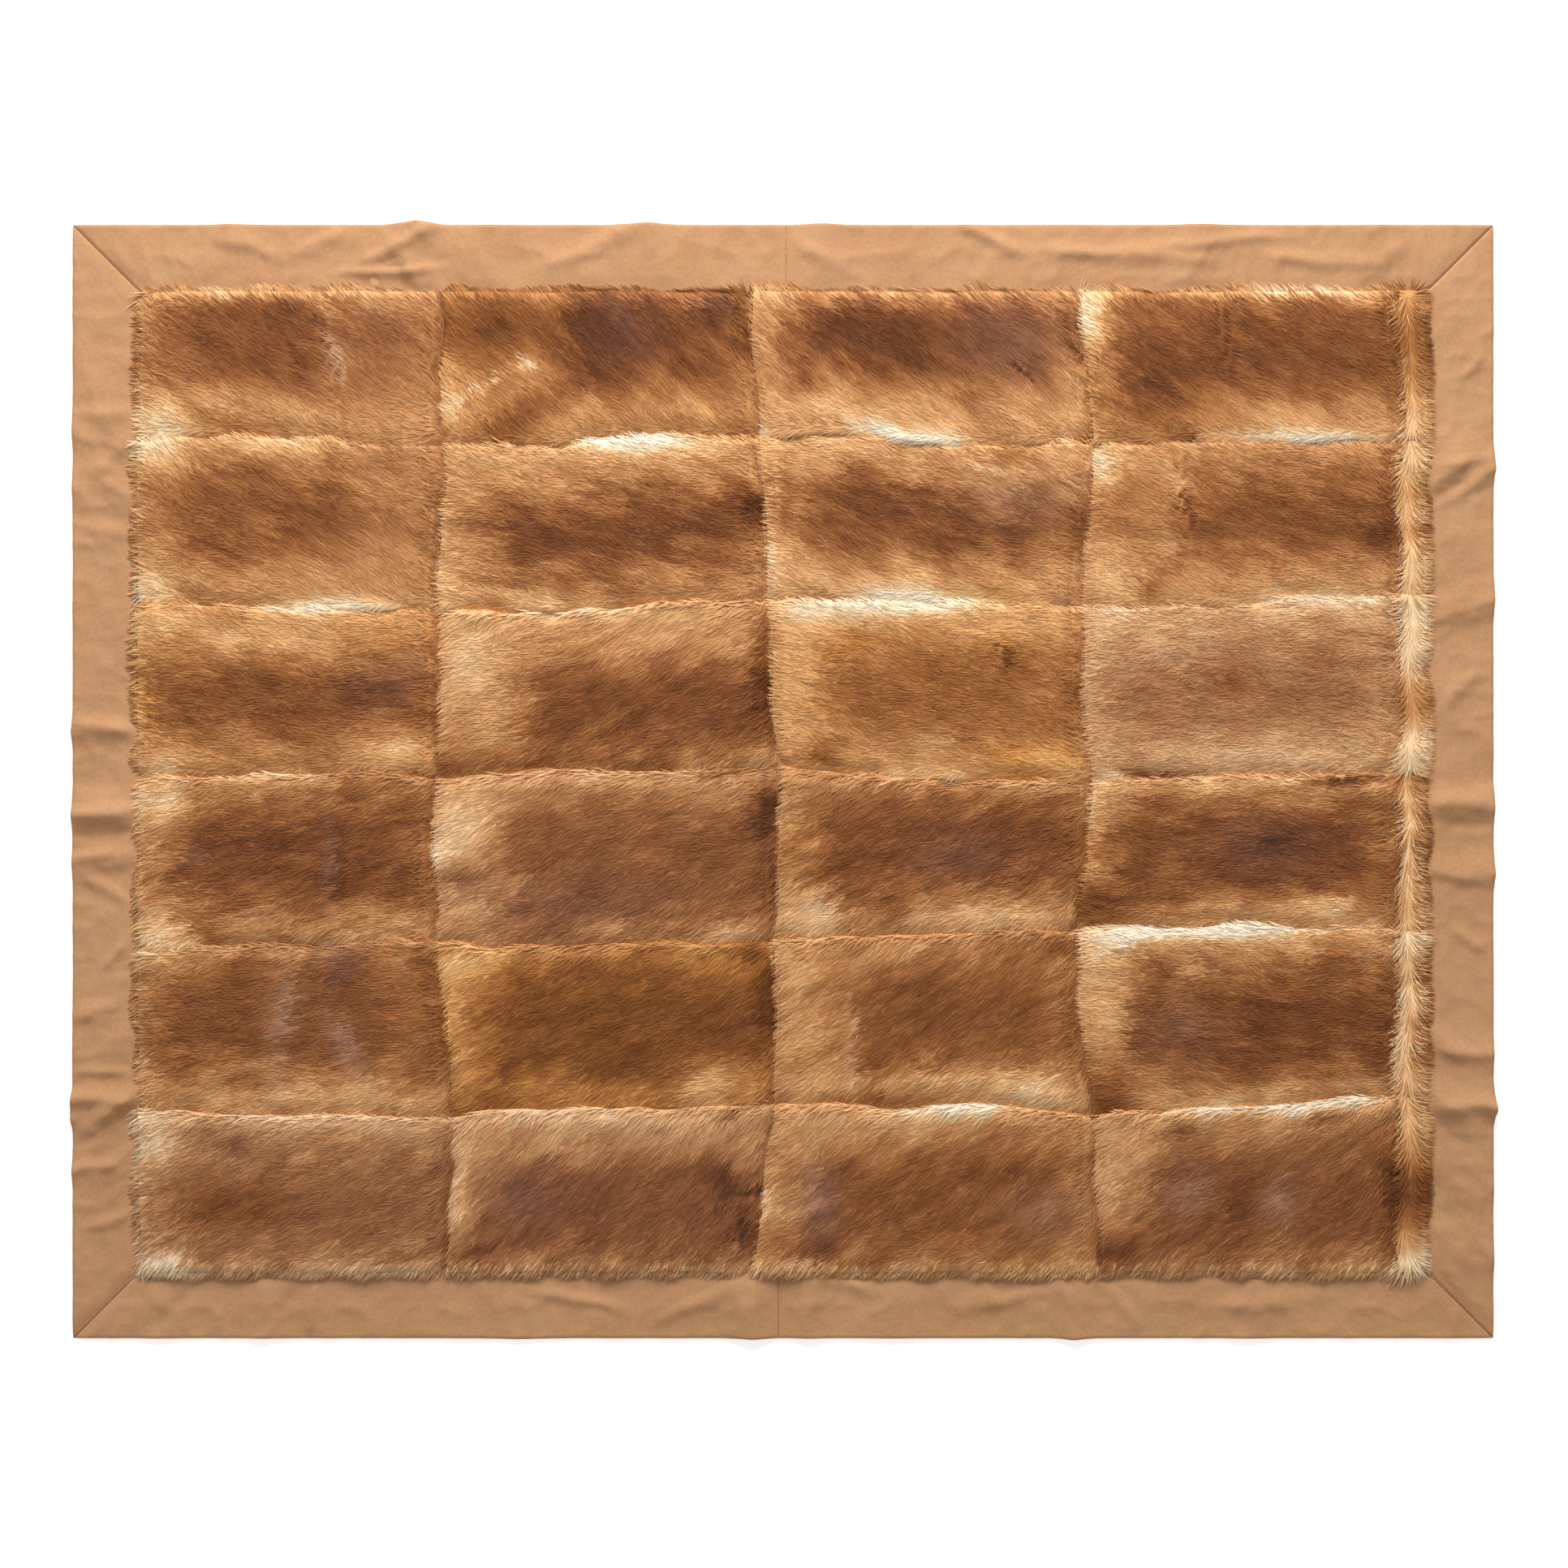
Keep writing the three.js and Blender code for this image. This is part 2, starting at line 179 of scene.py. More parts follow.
# %% Light and floor
KEY = {"place": (-0.15, 3.3, 2.4), "aim": (0.05, 0.15, 0), "side": 1.8, "watts": 186}
FILL = 0.45
FLOOR_SIDE = 12.0
WHITE = colour("#FFFFFF")
PAPER = {"Base Color": colour("#FBFAF8"), "Roughness": 0.9}
PAPER_GLOW = {"Emission Color": WHITE, "Emission Strength": 0.5}

scene.view_settings.view_transform = "Standard"
scene.world = bpy.data.worlds.new("studio")
scene.world.use_nodes = True
fill = scene.world.node_tree.nodes["Background"].inputs
fill["Color"].default_value, fill["Strength"].default_value = WHITE, FILL

key = new_object("key_light", bpy.data.lights.new("key_light", "AREA"))
key.data.energy, key.data.shape, key.data.size = KEY["watts"], "SQUARE", KEY["side"]
key.location = KEY["place"]
towards = Vector(KEY["aim"]) - Vector(KEY["place"])
key.rotation_euler = towards.to_track_quat("-Z", "Y").to_euler()

half = FLOOR_SIDE / 2
corners = [(-half, -half, 0), (half, -half, 0), (half, half, 0), (-half, half, 0)]
floor_mesh = bpy.data.meshes.new("floor")
floor_mesh.from_pydata(corners, [], [(0, 1, 2, 3)])
floor_mesh.materials.append(new_material("White paper backdrop", {**PAPER, **PAPER_GLOW}))
floor = new_object("floor", floor_mesh)
print("The floor is a sheet of white paper", FLOOR_SIDE, "m wide")

# %% [markdown]
# The fur is natural and undyed. Each hair is drawn darker at its root and a little lighter at its
# tip, which is painted shade standing in for the depth of the fur, and no two hairs are quite alike.
# Its tone runs from the white of the belly through tan to the dark russet of the back. Some pelts
# are greyer and some more golden, so two more ramps are mixed in. The hair's own numbers come as
# attributes, which a script can set for each hair: `tone`, `ash` and `gold` from the chart of the
# pelts, `stray` at random, `along` from the root at 0 to the tip at 1, which sets the painted
# shade, and `strand` from side to side, for the fine lines on a tuft.

# %% Fur material
NATURAL = [(0, "#FFF2DA"), (0.15, "#FCDDAE"), (0.32, "#EFBC82"), (0.5, "#D0955D"), (0.68, "#AE6F3B")]
NATURAL += [(0.84, "#8C5026"), (1, "#572A0B")]
ASHEN = [(0, "#F6E9D8"), (0.3, "#DBB390"), (0.52, "#BC8D6A"), (0.75, "#966750"), (1, "#5E3B2B")]
GOLDEN = [(0, "#FCE4B4"), (0.3, "#E9AC60"), (0.52, "#C68037"), (0.75, "#9A5B1E"), (1, "#693A10")]
FUR_FINISH = {"Roughness": 0.62, "Specular IOR Level": 0.25, "Sheen Weight": 0.16}
FUR_FINISH |= {"Sheen Roughness": 0.5, "Sheen Tint": colour("#F2DCC0")}
# painted shade: a hair is darker towards its root, where the fur's depth would shade it, and a little
# lighter at its tip
ROOT_SHADE, TIP_SHADE = 0.8, 1.06
STRAY_SHADE, STRAY_PHASE = 0.22, 9.0
STRANDS, STRAND_SHADE = 2.5, 0.13
MOTTLE_MM, MOTTLE_TONE = 7, 0.05
MATHS = "ShaderNodeMath"


def ramp(tree, stops, factor):
    """A colour ramp through these stops."""
    node = add_node(tree, "ShaderNodeValToRGB", {"Fac": factor})
    elements = node.color_ramp.elements
    while len(elements) < len(stops):
        elements.new(0.5)
    for element, (place, code) in zip(elements, stops):
        element.position, element.color = place, colour(code)
    return node


def fur_material(name):
    """Natural fur with a soft sheen. Its roughness is a hair's, which scatters light widely."""
    material = new_material(name, FUR_FINISH)
    tree = material.node_tree
    given = {
        key: add_node(tree, "ShaderNodeAttribute", attribute_name=key).outputs["Fac"]
        for key in ("tone", "ash", "gold", "stray", "along", "strand")
    }
    mottle = {"Vector": add_node(tree, "ShaderNodeTexCoord").outputs["Object"], "Detail": 3.0}
    mottle = add_node(tree, "ShaderNodeTexNoise", {**mottle, "Scale": 1 / (MOTTLE_MM * MM)})
    shift = {"Value": mottle.outputs["Fac"], "To Min": -MOTTLE_TONE, "To Max": MOTTLE_TONE}
    shift = add_node(tree, "ShaderNodeMapRange", shift)
    tone = add_node(tree, MATHS, {0: given["tone"], 1: shift}, operation="ADD")
    fur = ramp(tree, NATURAL, tone).outputs[0]
    for cast, stops in (("ash", ASHEN), ("gold", GOLDEN)):
        mix = {0: given[cast], 6: fur, 7: ramp(tree, stops, tone)}
        fur = add_node(tree, "ShaderNodeMix", mix, data_type="RGBA").outputs[2]
    # painted shade along the hair, from the root to the tip
    depth_shade = {"Value": given["along"], "To Min": ROOT_SHADE, "To Max": TIP_SHADE}
    depth_shade = add_node(tree, "ShaderNodeMapRange", depth_shade)
    own = {0: given["stray"], 1: STRAY_SHADE, 2: 1.0}
    own = add_node(tree, MATHS, own, operation="MULTIPLY_ADD")
    phase = add_node(tree, MATHS, {0: given["stray"], 1: STRAY_PHASE}, operation="MULTIPLY")
    beat = {0: given["strand"], 1: 2 * math.pi * STRANDS, 2: phase}
    beat = add_node(tree, MATHS, beat, operation="MULTIPLY_ADD")
    wave = add_node(tree, MATHS, {0: beat}, operation="SINE")
    fine = add_node(tree, MATHS, {0: wave, 1: STRAND_SHADE, 2: depth_shade}, operation="MULTIPLY_ADD")
    shade = add_node(tree, MATHS, {0: fine, 1: own}, operation="MULTIPLY").outputs[0]
    shaded = add_node(tree, "ShaderNodeVectorMath", {0: fur, "Scale": shade}, operation="SCALE")
    tree.links.new(shaded.outputs[0], tree.nodes["Principled BSDF"].inputs["Base Color"])
    return material


pelt_fur = fur_material("Dressed pelt, natural fur")
strip_fur = fur_material("Long guard fur of the edge strip")
print("Fur materials:", pelt_fur.name, "and", strip_fur.name)

# %% [markdown]
# Each pelt is charted as a furrier would grade it. The chart gives the tone of its dark back and
# of its paler flanks, and how much of the pelt the back covers, from 0 at the left or the foot to 1
# at the right or the head. Then come its ashen and golden cast, and the way its hair lies, in
# degrees from +X. No two pelts are alike, and that is what makes the throw look real.

# %% Chart of the pelts
PELTS = """
              back flank left right foot head ash gold nap
pelt_r1_c1     .82   .46  .02   .62  .34 1.02   0  .05 148
pelt_r1_c2     .86   .46  .38   .97  .31 1.06   0  .15 138
pelt_r1_c3     .89   .42  .12   .95  .36 1.02   0  .05 144
pelt_r1_c4     .84   .42  .07  1.05  .28  .98   0  .05 150
pelt_r2_c1     .85   .47   .1   .72   .4  .77   0   .1 155
pelt_r2_c2     .87   .41  .12   .98   .2  .71   0  .05 166
pelt_r2_c3     .86   .38  .13   .98  .26  .76   0  .05 158
pelt_r2_c4      .8   .46   .3  1.05  .28   .8   0  .05 164
pelt_r3_c1     .82   .44  .07   .98   .2   .7   0   .2 174
pelt_r3_c2     .83   .43  .27  1.04  .06   .7   0  .05 203
pelt_r3_c3      .7   .37  .18   .94  .22  .78   0  .35 165
pelt_r3_c4     .64   .37  .08   .96  .22  .78  .3   .1 176
pelt_r4_c1     .85   .42  .08   .98   .2  .88   0  .05 196
pelt_r4_c2     .78   .43  .19  1.04   .1  .86  .1  .05 205
pelt_r4_c3     .83   .43  .13  1.02  .26  .92   0  .05 206
pelt_r4_c4     .84   .41   .1   .98  .15  .86   0  .05 178
pelt_r5_c1     .81   .44  .02  1.02  .24  .94   0  .05 190
pelt_r5_c2     .84   .44  .14  1.02  .14  .88   0   .6 206
pelt_r5_c3      .8   .44  .22   .98  .26   .9   0  .15 212
pelt_r5_c4     .85   .38  .16  1.05  .12  .78   0  .05 172
pelt_r6_c1     .71    .4   .1  1.02  .06   .8  .3  .05 208
pelt_r6_c2      .8   .42  .12     1  .02  .76  .2    0 226
pelt_r6_c3     .79   .42  .12   .98  .06  .78   0  .05 215
pelt_r6_c4      .8   .41  .18  1.05  .06   .8  .1  .05 214
edge_strip_r1  .44   .38   .1    .9   .2  .95   0   .2 180
edge_strip_r2  .22   .26   .1    .9  .05  .95   0   .1 180
edge_strip_r3  .12   .22   .1    .9  .05  .95   0   .1 180
edge_strip_r4   .3   .32   .1    .9  .05  .95   0   .1 180
edge_strip_r5   .2   .26   .1    .9  .05  .95   0  .05 180
edge_strip_r6   .3    .3   .1    .9  .05  .95   0  .15 180
"""


def chart(text):
    """The rows of a table as dicts, keyed by the words of its first line. A piece's name stands
    before its row or on a line above its rows. What a row leaves out at its end is 0."""
    head, *rows = [line.split() for line in text.strip().splitlines()]
    found, piece = [], ""
    for row in rows:
        if row[0][0].isalpha():
            piece = row.pop(0)
        if row:
            cells = [float(cell) for cell in row] + [0.0] * (len(head) - len(row))
            found.append({"piece": piece, **dict(zip(head, cells))})
    return found


PELT_CHART = {row["piece"]: row for row in chart(PELTS)}
print("Pelts and strips charted:", len(PELT_CHART))

# %% [markdown]
# Then come the marks of each pelt: flashes of belly white, scars, creases and darker tufts. Where a
# mark sinks the fur, at a crease or along a seam, it is mostly darker as well, and that darkening is
# painted shade in the hollow. Each is a soft-edged oval. Its middle is given on the pelt, `right`
# from the left edge and `up` from the foot, as shares of the pelt. Its half-sizes, `across` and
# `high`, are in millimetres. Then come what it adds to the tone, and to the height as `lift`, its
# turn in degrees, and its gold and ash.

# %% Marks of the pelts
MARKS = """
right up across high tone lift turn gold ash
pelt_r1_c1
.78 .66  74 64  .22    0   0   0  .1
.64  .6   8 34 -.24    0   8   0  .6
.63 .51   3 75  .18   -2  12   0  .1
.79 .86  20  7  -.1    0   0   0  .4
 .5 .89  22  8  .12
 .3 .99 110  9 -.24
 .8 .99  70  6  -.1    0   0   0  .1
.44 .28  60  6  -.1   .5 -14
 .3 .16  50  9  .14    0 -10  .1
.07  .1  34 36 -.26
.55 .36  70 22  .12
 .5   0 200 16    0    2
pelt_r1_c2
.18 .76  92 54  .33    0   0  .3
.57 .74  36 30  .08    0   0   0  .4
.14 .38  50  3 -.38  -.5  32   0  .3
.28 .51  11  8 -.45    0   0   0  .3
.25 .17  44 26   .3    0  32  .1
.03 .32  11 55 -.22    0   0  .3
.83  .2   8 28  -.1    0   6  .4
.91 .22  15 30  .12
.91 .01  28  3   .4 -2.5
.94 .74   8 42   .1
 .5  .4  44 22  .14
.92  .9  36 24  .15
pelt_r1_c3
 .4 .65  60 38  .08    0   0  .3
.76 .66  72 45 -.05    0   0   0  .5
.79 .47  14  4   .3   -1 -20
.48 .06  58 12 -.62  2.2  -8
 .3  .2  60 12 -.18    0 -20
.17 .37  18 14  .16    0   0  .2
.67 .18   8 20  .18    0  28   0  .1
.99 .57  22  4  .45   -3 -25
.01 .06  20 22  -.3
 .5 .99 150  6 -.12
.98 .06  14  9  .28 -1.5
pelt_r1_c4
.04 .83  24 38 -.42    1   0  .3
.46 .68   3 42  .26 -1.8   4
.24 .24  85 36  .22    0   0  .2
.03  .2   9 45 -.16    0   0  .1
.72 .04 105 12 -.44  1.5   1
.33 .03  18  8   .3   -1  60
.68   1  90  9 -.36
pelt_r2_c1
.36 .36  85 22  .17    0   0  .1
.83  .9  70 30   .1    1   0   0  .1
.84  .5  55 50  .13    0   0   0  .1
.07 .92  34 20 -.28
.45 .95  90 16 -.18
.05 .12  22 32 -.22
.64 .02  84 10 -.44  1.5   2
 .5   1 200 14    0  1.5
pelt_r2_c2
.58 .96  80 14 -.52  1.5  -4
.75 .88  12 10 -.12    0   0  .4
.95  .6  18 20   .2 -1.5
.02  .4   8 80 -.16    0   0  .1
 .3 .07 110 14  -.1    0  -2
.52   0  50  4  -.3
pelt_r2_c3
.03  .9  12 34 -.04    1   0  .3
.08 .58   9 45  .26   -1  -4  .2
.03 .25  13 45 -.18   .8   6
 .8 .62  70 32 -.08    0   0   0  .4
.69 .79  26  5 -.24  1.2 -18
.78 .87  32 12  .18    0   0  .3
.86 .98  45 10 -.16
 .5 .02  70 14 -.56  2.2  -8
.73  .1  50 20 -.05    0   0  .4
pelt_r2_c4
.06 .83  24 29  -.3   .6   0  .1
.14  .6  44 44  .14    0   0  .1
.31 .74  12  9 -.22   .8
.33 .66   4 48   .3 -2.2   8
.08 .15  36 38 -.12
.22 .12  14 26  .16    0 -30
.78 .03 110 18 -.38  1.5   1
.95 .05  22 14  .16
.95 .43  26 16  .14
pelt_r3_c1
 .1  .9  37 22 -.12   .5   0  .2
.53 .99  66 12 -.48  1.2
 .4 .76 115 24 -.14
.85 .83  55 25    0    0   0  .3
.82 .56  66 34  .06    0   8   0  .3
.02 .45  10 48 -.14    0   0  .6
.84 .19  45 30  -.2   .5
.09 .06  28 22 -.24
.75   0  26 10  .18   -1
 .3 .93  36 12   .1
pelt_r3_c2
 .3 .97 120 11 -.38  1.2  -3
 .1 .65  30 55 -.16   .5   0   0  .1
 .1 .38  24 24  .12    0   0   0  .1
.97 .64  13 52  .26   -3   0  .2
.05 .07  24 12  .24   -1
.22 .13  52 14  .16    0   0  .1
.86  .1  50 22 -.12
.08  .2  40 24   .1
pelt_r3_c3
.43   1  80 18  -.6  1.6
.16 .93  60 18  -.2
.23 .72  45 14  .02    0  20  .4
.73 .82  16 16  -.1   .5   0  .5
.73  .7   4 18  .42 -1.2 -12
.82 .12  44 19 -.12   .5   0  .8
.45 .06  90  9 -.14   .5   2  .1
.94  .5  20 60  .16  -.5
.18 .16  26 20  .22    0 -20
.47 .22  90 12    0    0   0   0  .3
pelt_r3_c4
 .1 .86  45 26 -.08   .5
.25 .68  75 16  -.1    0  10   0  .2
.17 .74   6 18  .14    0  12
.47 .53  16 24   .1    0   0   0 -.3
 .8 .97  90 16 -.16  -.5
.55 .15 110 22 -.08    0   0   0  .1
.82 .12  36  5   .2   -1  28
 .9 .15  30  7 -.12    0  15  .3
.08 .02  20  8 -.28
.24 .05  40  5   .4 -2.5  -4
pelt_r4_c1
.45 .99  60  7  -.3  1.2   2  .1
 .7 .87  46  7  .16   -1 -14
 .1 .82  28 30  -.3
.19 .53  18 10 -.04    0   0   0  .5
.49 .61   8  5  .45   -1  40
.65 .52   6 68 -.05    0   2   0  .7
.69 .43   5 28  .12
.09  .1  28 28 -.24
.22 .11  36 11   .2    0 -30  .1
pelt_r4_c2
.09 .68  50 46 -.14   .5
.02  .5  25 24 -.18   .3
 .1  .4  26 18  .28    0   0   0  .3
 .4 .25 115 36  .02    0   0   0  .3
.42 .94  80 11  -.1   .6   4
.96 .76  14 52  .28   -3   0  .1
.87 .98  30  5  .28 -1.5  12
.85 .06  50 16 -.22   .5   8
pelt_r4_c3
.09  .5  26 55   .1    0   0  .1
.08 .58  22 18    0    0   0  .3
.15  .2  38 32  -.2    0   0   0  .2
.33  .2  36 24  .16    0 -30
 .6  .5  62 28  .02    0   0   0  .4
.79 .99  28  3  .38 -2.5
.68 .14 100 20 -.08    0   0   0  .1
pelt_r4_c4
.04 .82  22 40 -.14   .6
.05  .5  12 28  .02    0   0  .5
.06 .15  54 28  .27   -1   0  .1
.84 .95  46  5  .46   -3   8
 .6 .56  70 32  .06    0   0   0  .4
.72 .12  60 20 -.26  1.2   0  .2
 .6 .93 130 12  -.1
 .3 .42  26 34 -.08
pelt_r5_c1
.08 .95  34 16 -.24   .5  25
.47 .58  15 66 -.18  -.5  -6   0  .8
.64 .87  24 30  .08    0   0   0  .5
.67 .42  17 46 -.14  -.4  30   0  .8
.88  .6  40 60 -.08
.55 .11 160 20 -.08
.01  .4   8 45 -.16
pelt_r5_c2
.12  .9  46 26 -.25   .5  15  .3
.02  .5  12 60 -.16   .3   0  .3
.97 .65  11 58   .2 -2.5   0  .1
.92 .96  18 11  .18   -1
.84 .87  45 16 -.12    0 -10  .2
 .5 .08 130 13 -.08   .3  -1  .2
.82 .19  40 30 -.25   .5   0 -.4
.18  .1  50 20  .16
pelt_r5_c3
.25 .47   4 66  -.2  -.6   0   0  .6
.37 .88  62 14 -.18    1  20
.55 .21 105  8 -.12   .8   2
.37  .1  50 12  .14  -.5
.82 .14  60 26 -.18  1.2  -8
 .9 .92  36 18  .12  -.6
pelt_r5_c4
.42 .97 120 12 -.48  1.4   2
.15 .92  35 10 -.24   .8  25
.09 .78  38 50  -.1   .5   0  .1
 .1  .1  40 44  .34  -.5
.33 .45  46 38 -.08    0   0   0  .4
.27 .74  20 12  .12
.44 .08 100 16 -.18    0   0  .1
pelt_r6_c1
 .5 .96 190 12 -.14    1
.07 .82  30 30  -.2    0   0   0  .1
.28  .8  48 13  .18  -.5 -18   0  .1
 .3  .4  66 26   .1    0   0  .2 -.2
 .1 .08  28 16 -.26    0   0   0  .3
pelt_r6_c2
.35 .93 130 17 -.16    1  -2
.32  .7  40  6 -.14   .8   4
.03 .45  12 65 -.14   .5
.25 .45  40 34    0    0   0   0  .4
.85 .52  22 22  .14
.95 .28  24 40   .1    1   0  .2
 .9 .21   4 20   .5 -3.5
.92 .47  26  4  .28   -2  15
.87 .95  14  5  .28   -2  20
.06 .12  46 34  .22
pelt_r6_c3
.65   1  80 12 -.42  1.4   5
 .3 .93  95 17 -.04   .8
 .2 .42  26 50 -.04    0   0   0  .7
.02  .4  10 70 -.14   .5
.84 .37  46 34 -.08    0   0   0  .5
.14 .05  24 10  -.2    0   0   0  .4
.12 .12  56 26  .24
pelt_r6_c4
.62 .96 130 12 -.52  1.2   2
.76  .9  28 10  .22    0   0   0  .2
 .3  .8  18 12  .16    0   0   0  .2
.32 .46  36 30  -.1    0   0   0  .6
.62  .4  26 36  -.1    0   0   0  .6
.48 .46  24 36   .1    0   0  .2
.98 .46   8 48  .24   -1   0  .1
.08 .12  60 34  .34
edge_strip_r1
.15 .72   8 45   .1    0   0  .1
  1 .62  12 60  .27
.45 .12  20 30 -.16
.55  .7  30 50  .12    0   0  .1
edge_strip_r2
  1 .55  10 80  .26
.02  .5   5 60  .26    0   0  .1
.55  .7  24 13  .24    0   0  .1
 .6 .44  22 11  .26
edge_strip_r3
 .5 .42  30 26   .3   -1   0  .2
 .8 .57   8 10   .2   -1   0   0  .2
edge_strip_r4
  1  .5  14 90  .32    0   0  .1
.42  .5   3 95  -.2
 .4 .98  26 10   .2   -1
.02  .5   7 90  .22    0   0  .1
edge_strip_r5
  1 .55  10 90  .28    0   0  .1
.75  .3  10 26  .38   -1   0  .1  .1
.45 .98  26 10 -.12    0   0  .1
 .8 .75  11 30  .24    0   0  .1
edge_strip_r6
.85 .93   8 10  .34 -1.5   0   0  .3
.42 .47  30 50  .42    0   0  .2
 .1  .5   8 60  .16   -1
  1  .4   7 50  .25
 .6 .06  26 18  -.2
"""
MARK_CHART = chart(MARKS)
print("Marks charted:", len(MARK_CHART))

# %% [markdown]
# The CAD node of a pelt stands on a flat underside, whose outline is the leather as it was cut.
# Sorted round its middle and split at its four corners, that outline gives the foot, the head and
# the two sides. A place on the throw is then a share of the pelt, and its distance from each seam
# follows, whatever way the seams wander. The needle draws a seam to and fro by a few millimetres
# more than the solids show. One field of moves serves all pelts, so their seams still meet.

# %% Outlines from the frame
FUR_HALF = (829, 626)  # half the width and half the height of the fur, in mm
SIDE_STEPS = 48
SEAM_WAVES = ((4.4, 72, 81), (2.4, 27, 83))  # how far, over what length, and a seed
STILL, STILL_REACH = 0.25, 40  # what is left of the waves at the border, and how far in it matters


def on_side(side, steps):
    """Points at even shares along a side."""
    run = np.concatenate([[0], np.cumsum(np.linalg.norm(np.diff(side, axis=0), axis=1))])
    wanted = np.linspace(0, run[-1], steps + 1)
    return np.stack([np.interp(wanted, run, side[:, k]) for k in (0, 1)], 1)


def wavy(place):
    """Places moved a little, as sewing draws them, and less so near the border."""
    x, y = place.T
    near = np.minimum(FUR_HALF[0] - np.abs(x), FUR_HALF[1] - np.abs(y)) / STILL_REACH
    much = STILL + (1 - STILL) * ease(near)
    move = [
        sum(far * unevenness(x, y, size, seed + k) for far, size, seed in SEAM_WAVES)
        for k in (0, 1)
    ]
    return place + much[:, None] * np.stack(move, 1)


def leather_sides(node):
    """The foot, head, left and right of a pelt's leather, in millimetres."""
    place = np.array([v.co for v in frame["nodes"][node].data.vertices]) / MM
    low = np.unique(np.round(place[place[:, 2] < 0.1, :2], 2), axis=0)
    about = low - low.mean(0)
    ring = low[np.argsort(np.arctan2(about[:, 1], about[:, 0]))]
    ring = np.roll(ring, -int(np.argmin(ring.sum(1))), axis=0)
    right_foot = int(np.argmax(ring[:, 0] - ring[:, 1]))
    right_head = int(np.argmax(ring.sum(1)))
    left_head = int(np.argmin(ring[:, 0] - ring[:, 1]))
    sides = {
        "foot": ring[: right_foot + 1],
        "right": ring[right_foot : right_head + 1],
        "head": ring[right_head : left_head + 1][::-1],
        "left": np.vstack([ring[left_head:], ring[:1]])[::-1],
    }
    return {edge: wavy(on_side(side, SIDE_STEPS)) for edge, side in sides.items()}


SIDES = {node: leather_sides(node) for node in PELT_CHART}


def shares(piece, x, y):
    """Where a place lies on a pelt: its shares across and up, and its distances in from each edge."""
    sides = SIDES[piece]
    foot, head = (np.interp(x, sides[k][:, 0], sides[k][:, 1]) for k in ("foot", "head"))
    left, right = (np.interp(y, sides[k][:, 1], sides[k][:, 0]) for k in ("left", "right"))
    inward = {"left": x - left, "right": right - x, "foot": y - foot, "head": head - y}
    return (x - left) / (right - left), (y - foot) / (head - foot), inward


def patch(sides, across, up):
    """A grid of points that fills the outline, as (across + 1, up + 1, 2)."""
    foot, head = on_side(sides["foot"], across), on_side(sides["head"], across)
    left, right = on_side(sides["left"], up), on_side(sides["right"], up)
    u = np.linspace(0, 1, across + 1)[:, None, None]
    v = np.linspace(0, 1, up + 1)[None, :, None]
    ruled = (1 - v) * foot[:, None] + v * head[:, None] + (1 - u) * left[None] + u * right[None]
    corners = (1 - u) * ((1 - v) * foot[0] + v * head[0]) + u * ((1 - v) * foot[-1] + v * head[-1])
    return ruled - corners


print("Points round each pelt:", sum(len(side) - 1 for side in SIDES["pelt_r1_c1"].values()))

# %% [markdown]
# The look of the fur at any place is now one function. It takes the tone of the back or the flank,
# adds slow drifts and streaks that follow the hair, changes the tone at the edges of the pelt, and
# then lays on the marks. At a seam the right edge is darker, which is painted shade of the crease
# there. The head edge is paler, partly for its cream hair and partly as a painted highlight on its
# raised ridge, and the left edge is a little paler. At the border the head, left and foot edges
# have paler tips. Even blends would look airbrushed, so each outline wanders broadly, finely and in
# wisps.

# %% Tone of the fur
BACK_EDGE = 0.24  # softness of the back's outline, as a share of the pelt
WANDER_MM = (42, 30, 11)  # lengths over which that outline wanders: across, up, and finely
WISPS = (5, 5.5)  # stretch and width in mm of its wisps, which follow the hair
ACROSS_WANDER, UP_WANDER = (0.05, 0.02, 0.04), (0.09, 0.04, 0.07)  # broadly, finely and in wisps
DRIFT = (0.035, 26)  # slow changes of tone, and their length
STREAKS = ((0.035, 5, 8), (0.06, 7, 3.2))  # tone, stretch along the hair and width in mm
COMB_WANDER = (7, 45)  # how far such streaks wander, over what length
# painted shade at the seams: the right edge darkens into the crease, and the head edge is paler, partly
# cream hair and partly a painted highlight on its ridge
SEAM_SHADE_AND_TONES = {"head": (-0.06, 10), "left": (-0.02, 8), "foot": (0.0, 5), "right": (0.08, 12)}
OUTER_TONES = {"head": (-0.08, 9), "left": (-0.14, 11), "foot": (-0.22, 13), "right": (0.0, 9)}
MARK_GAIN = 1.3
BROAD_WARP, FINE_WARP = (6, 4), (4, 3)  # how far a mark's outline wanders, across and up
LIMITS = {"tone": (0, 0.96), "ash": (0, 1), "gold": (0, 1), "lift": (-4, 3)}
OUTERMOST = {"head": "1", "foot": "6", "left": "1", "right": "5"}  # the row or column by the border


def is_strip(piece):
    """Whether this piece belongs to the narrow strip."""
    return piece.startswith("edge")


def is_outer(piece, edge):
    """Whether this edge of a pelt or strip lies along the border."""
    row, column = (piece[-1], "5") if is_strip(piece) else piece.split("_r")[1].split("_c")
    return (row if edge in ("head", "foot") else column) == OUTERMOST[edge]


def piece_seed(piece):
    """A number of its own for each piece, from its place in the chart."""
    return 100 * (1 + list(PELT_CHART).index(piece))


def turned(x, y, degrees):
    """Places as seen along and across a direction."""
    turn = math.radians(degrees)
    return x * math.cos(turn) + y * math.sin(turn), y * math.cos(turn) - x * math.sin(turn)


def combed(piece, x, y, stretch, width, seed):
    """Noise drawn out along the lie of the pelt's hair."""
    along, across = turned(x, y, PELT_CHART[piece]["nap"])
    far, length = COMB_WANDER
    across = across + far * unevenness(x, y, length, seed + 1)
    return unevenness(along / stretch, across, width, seed)


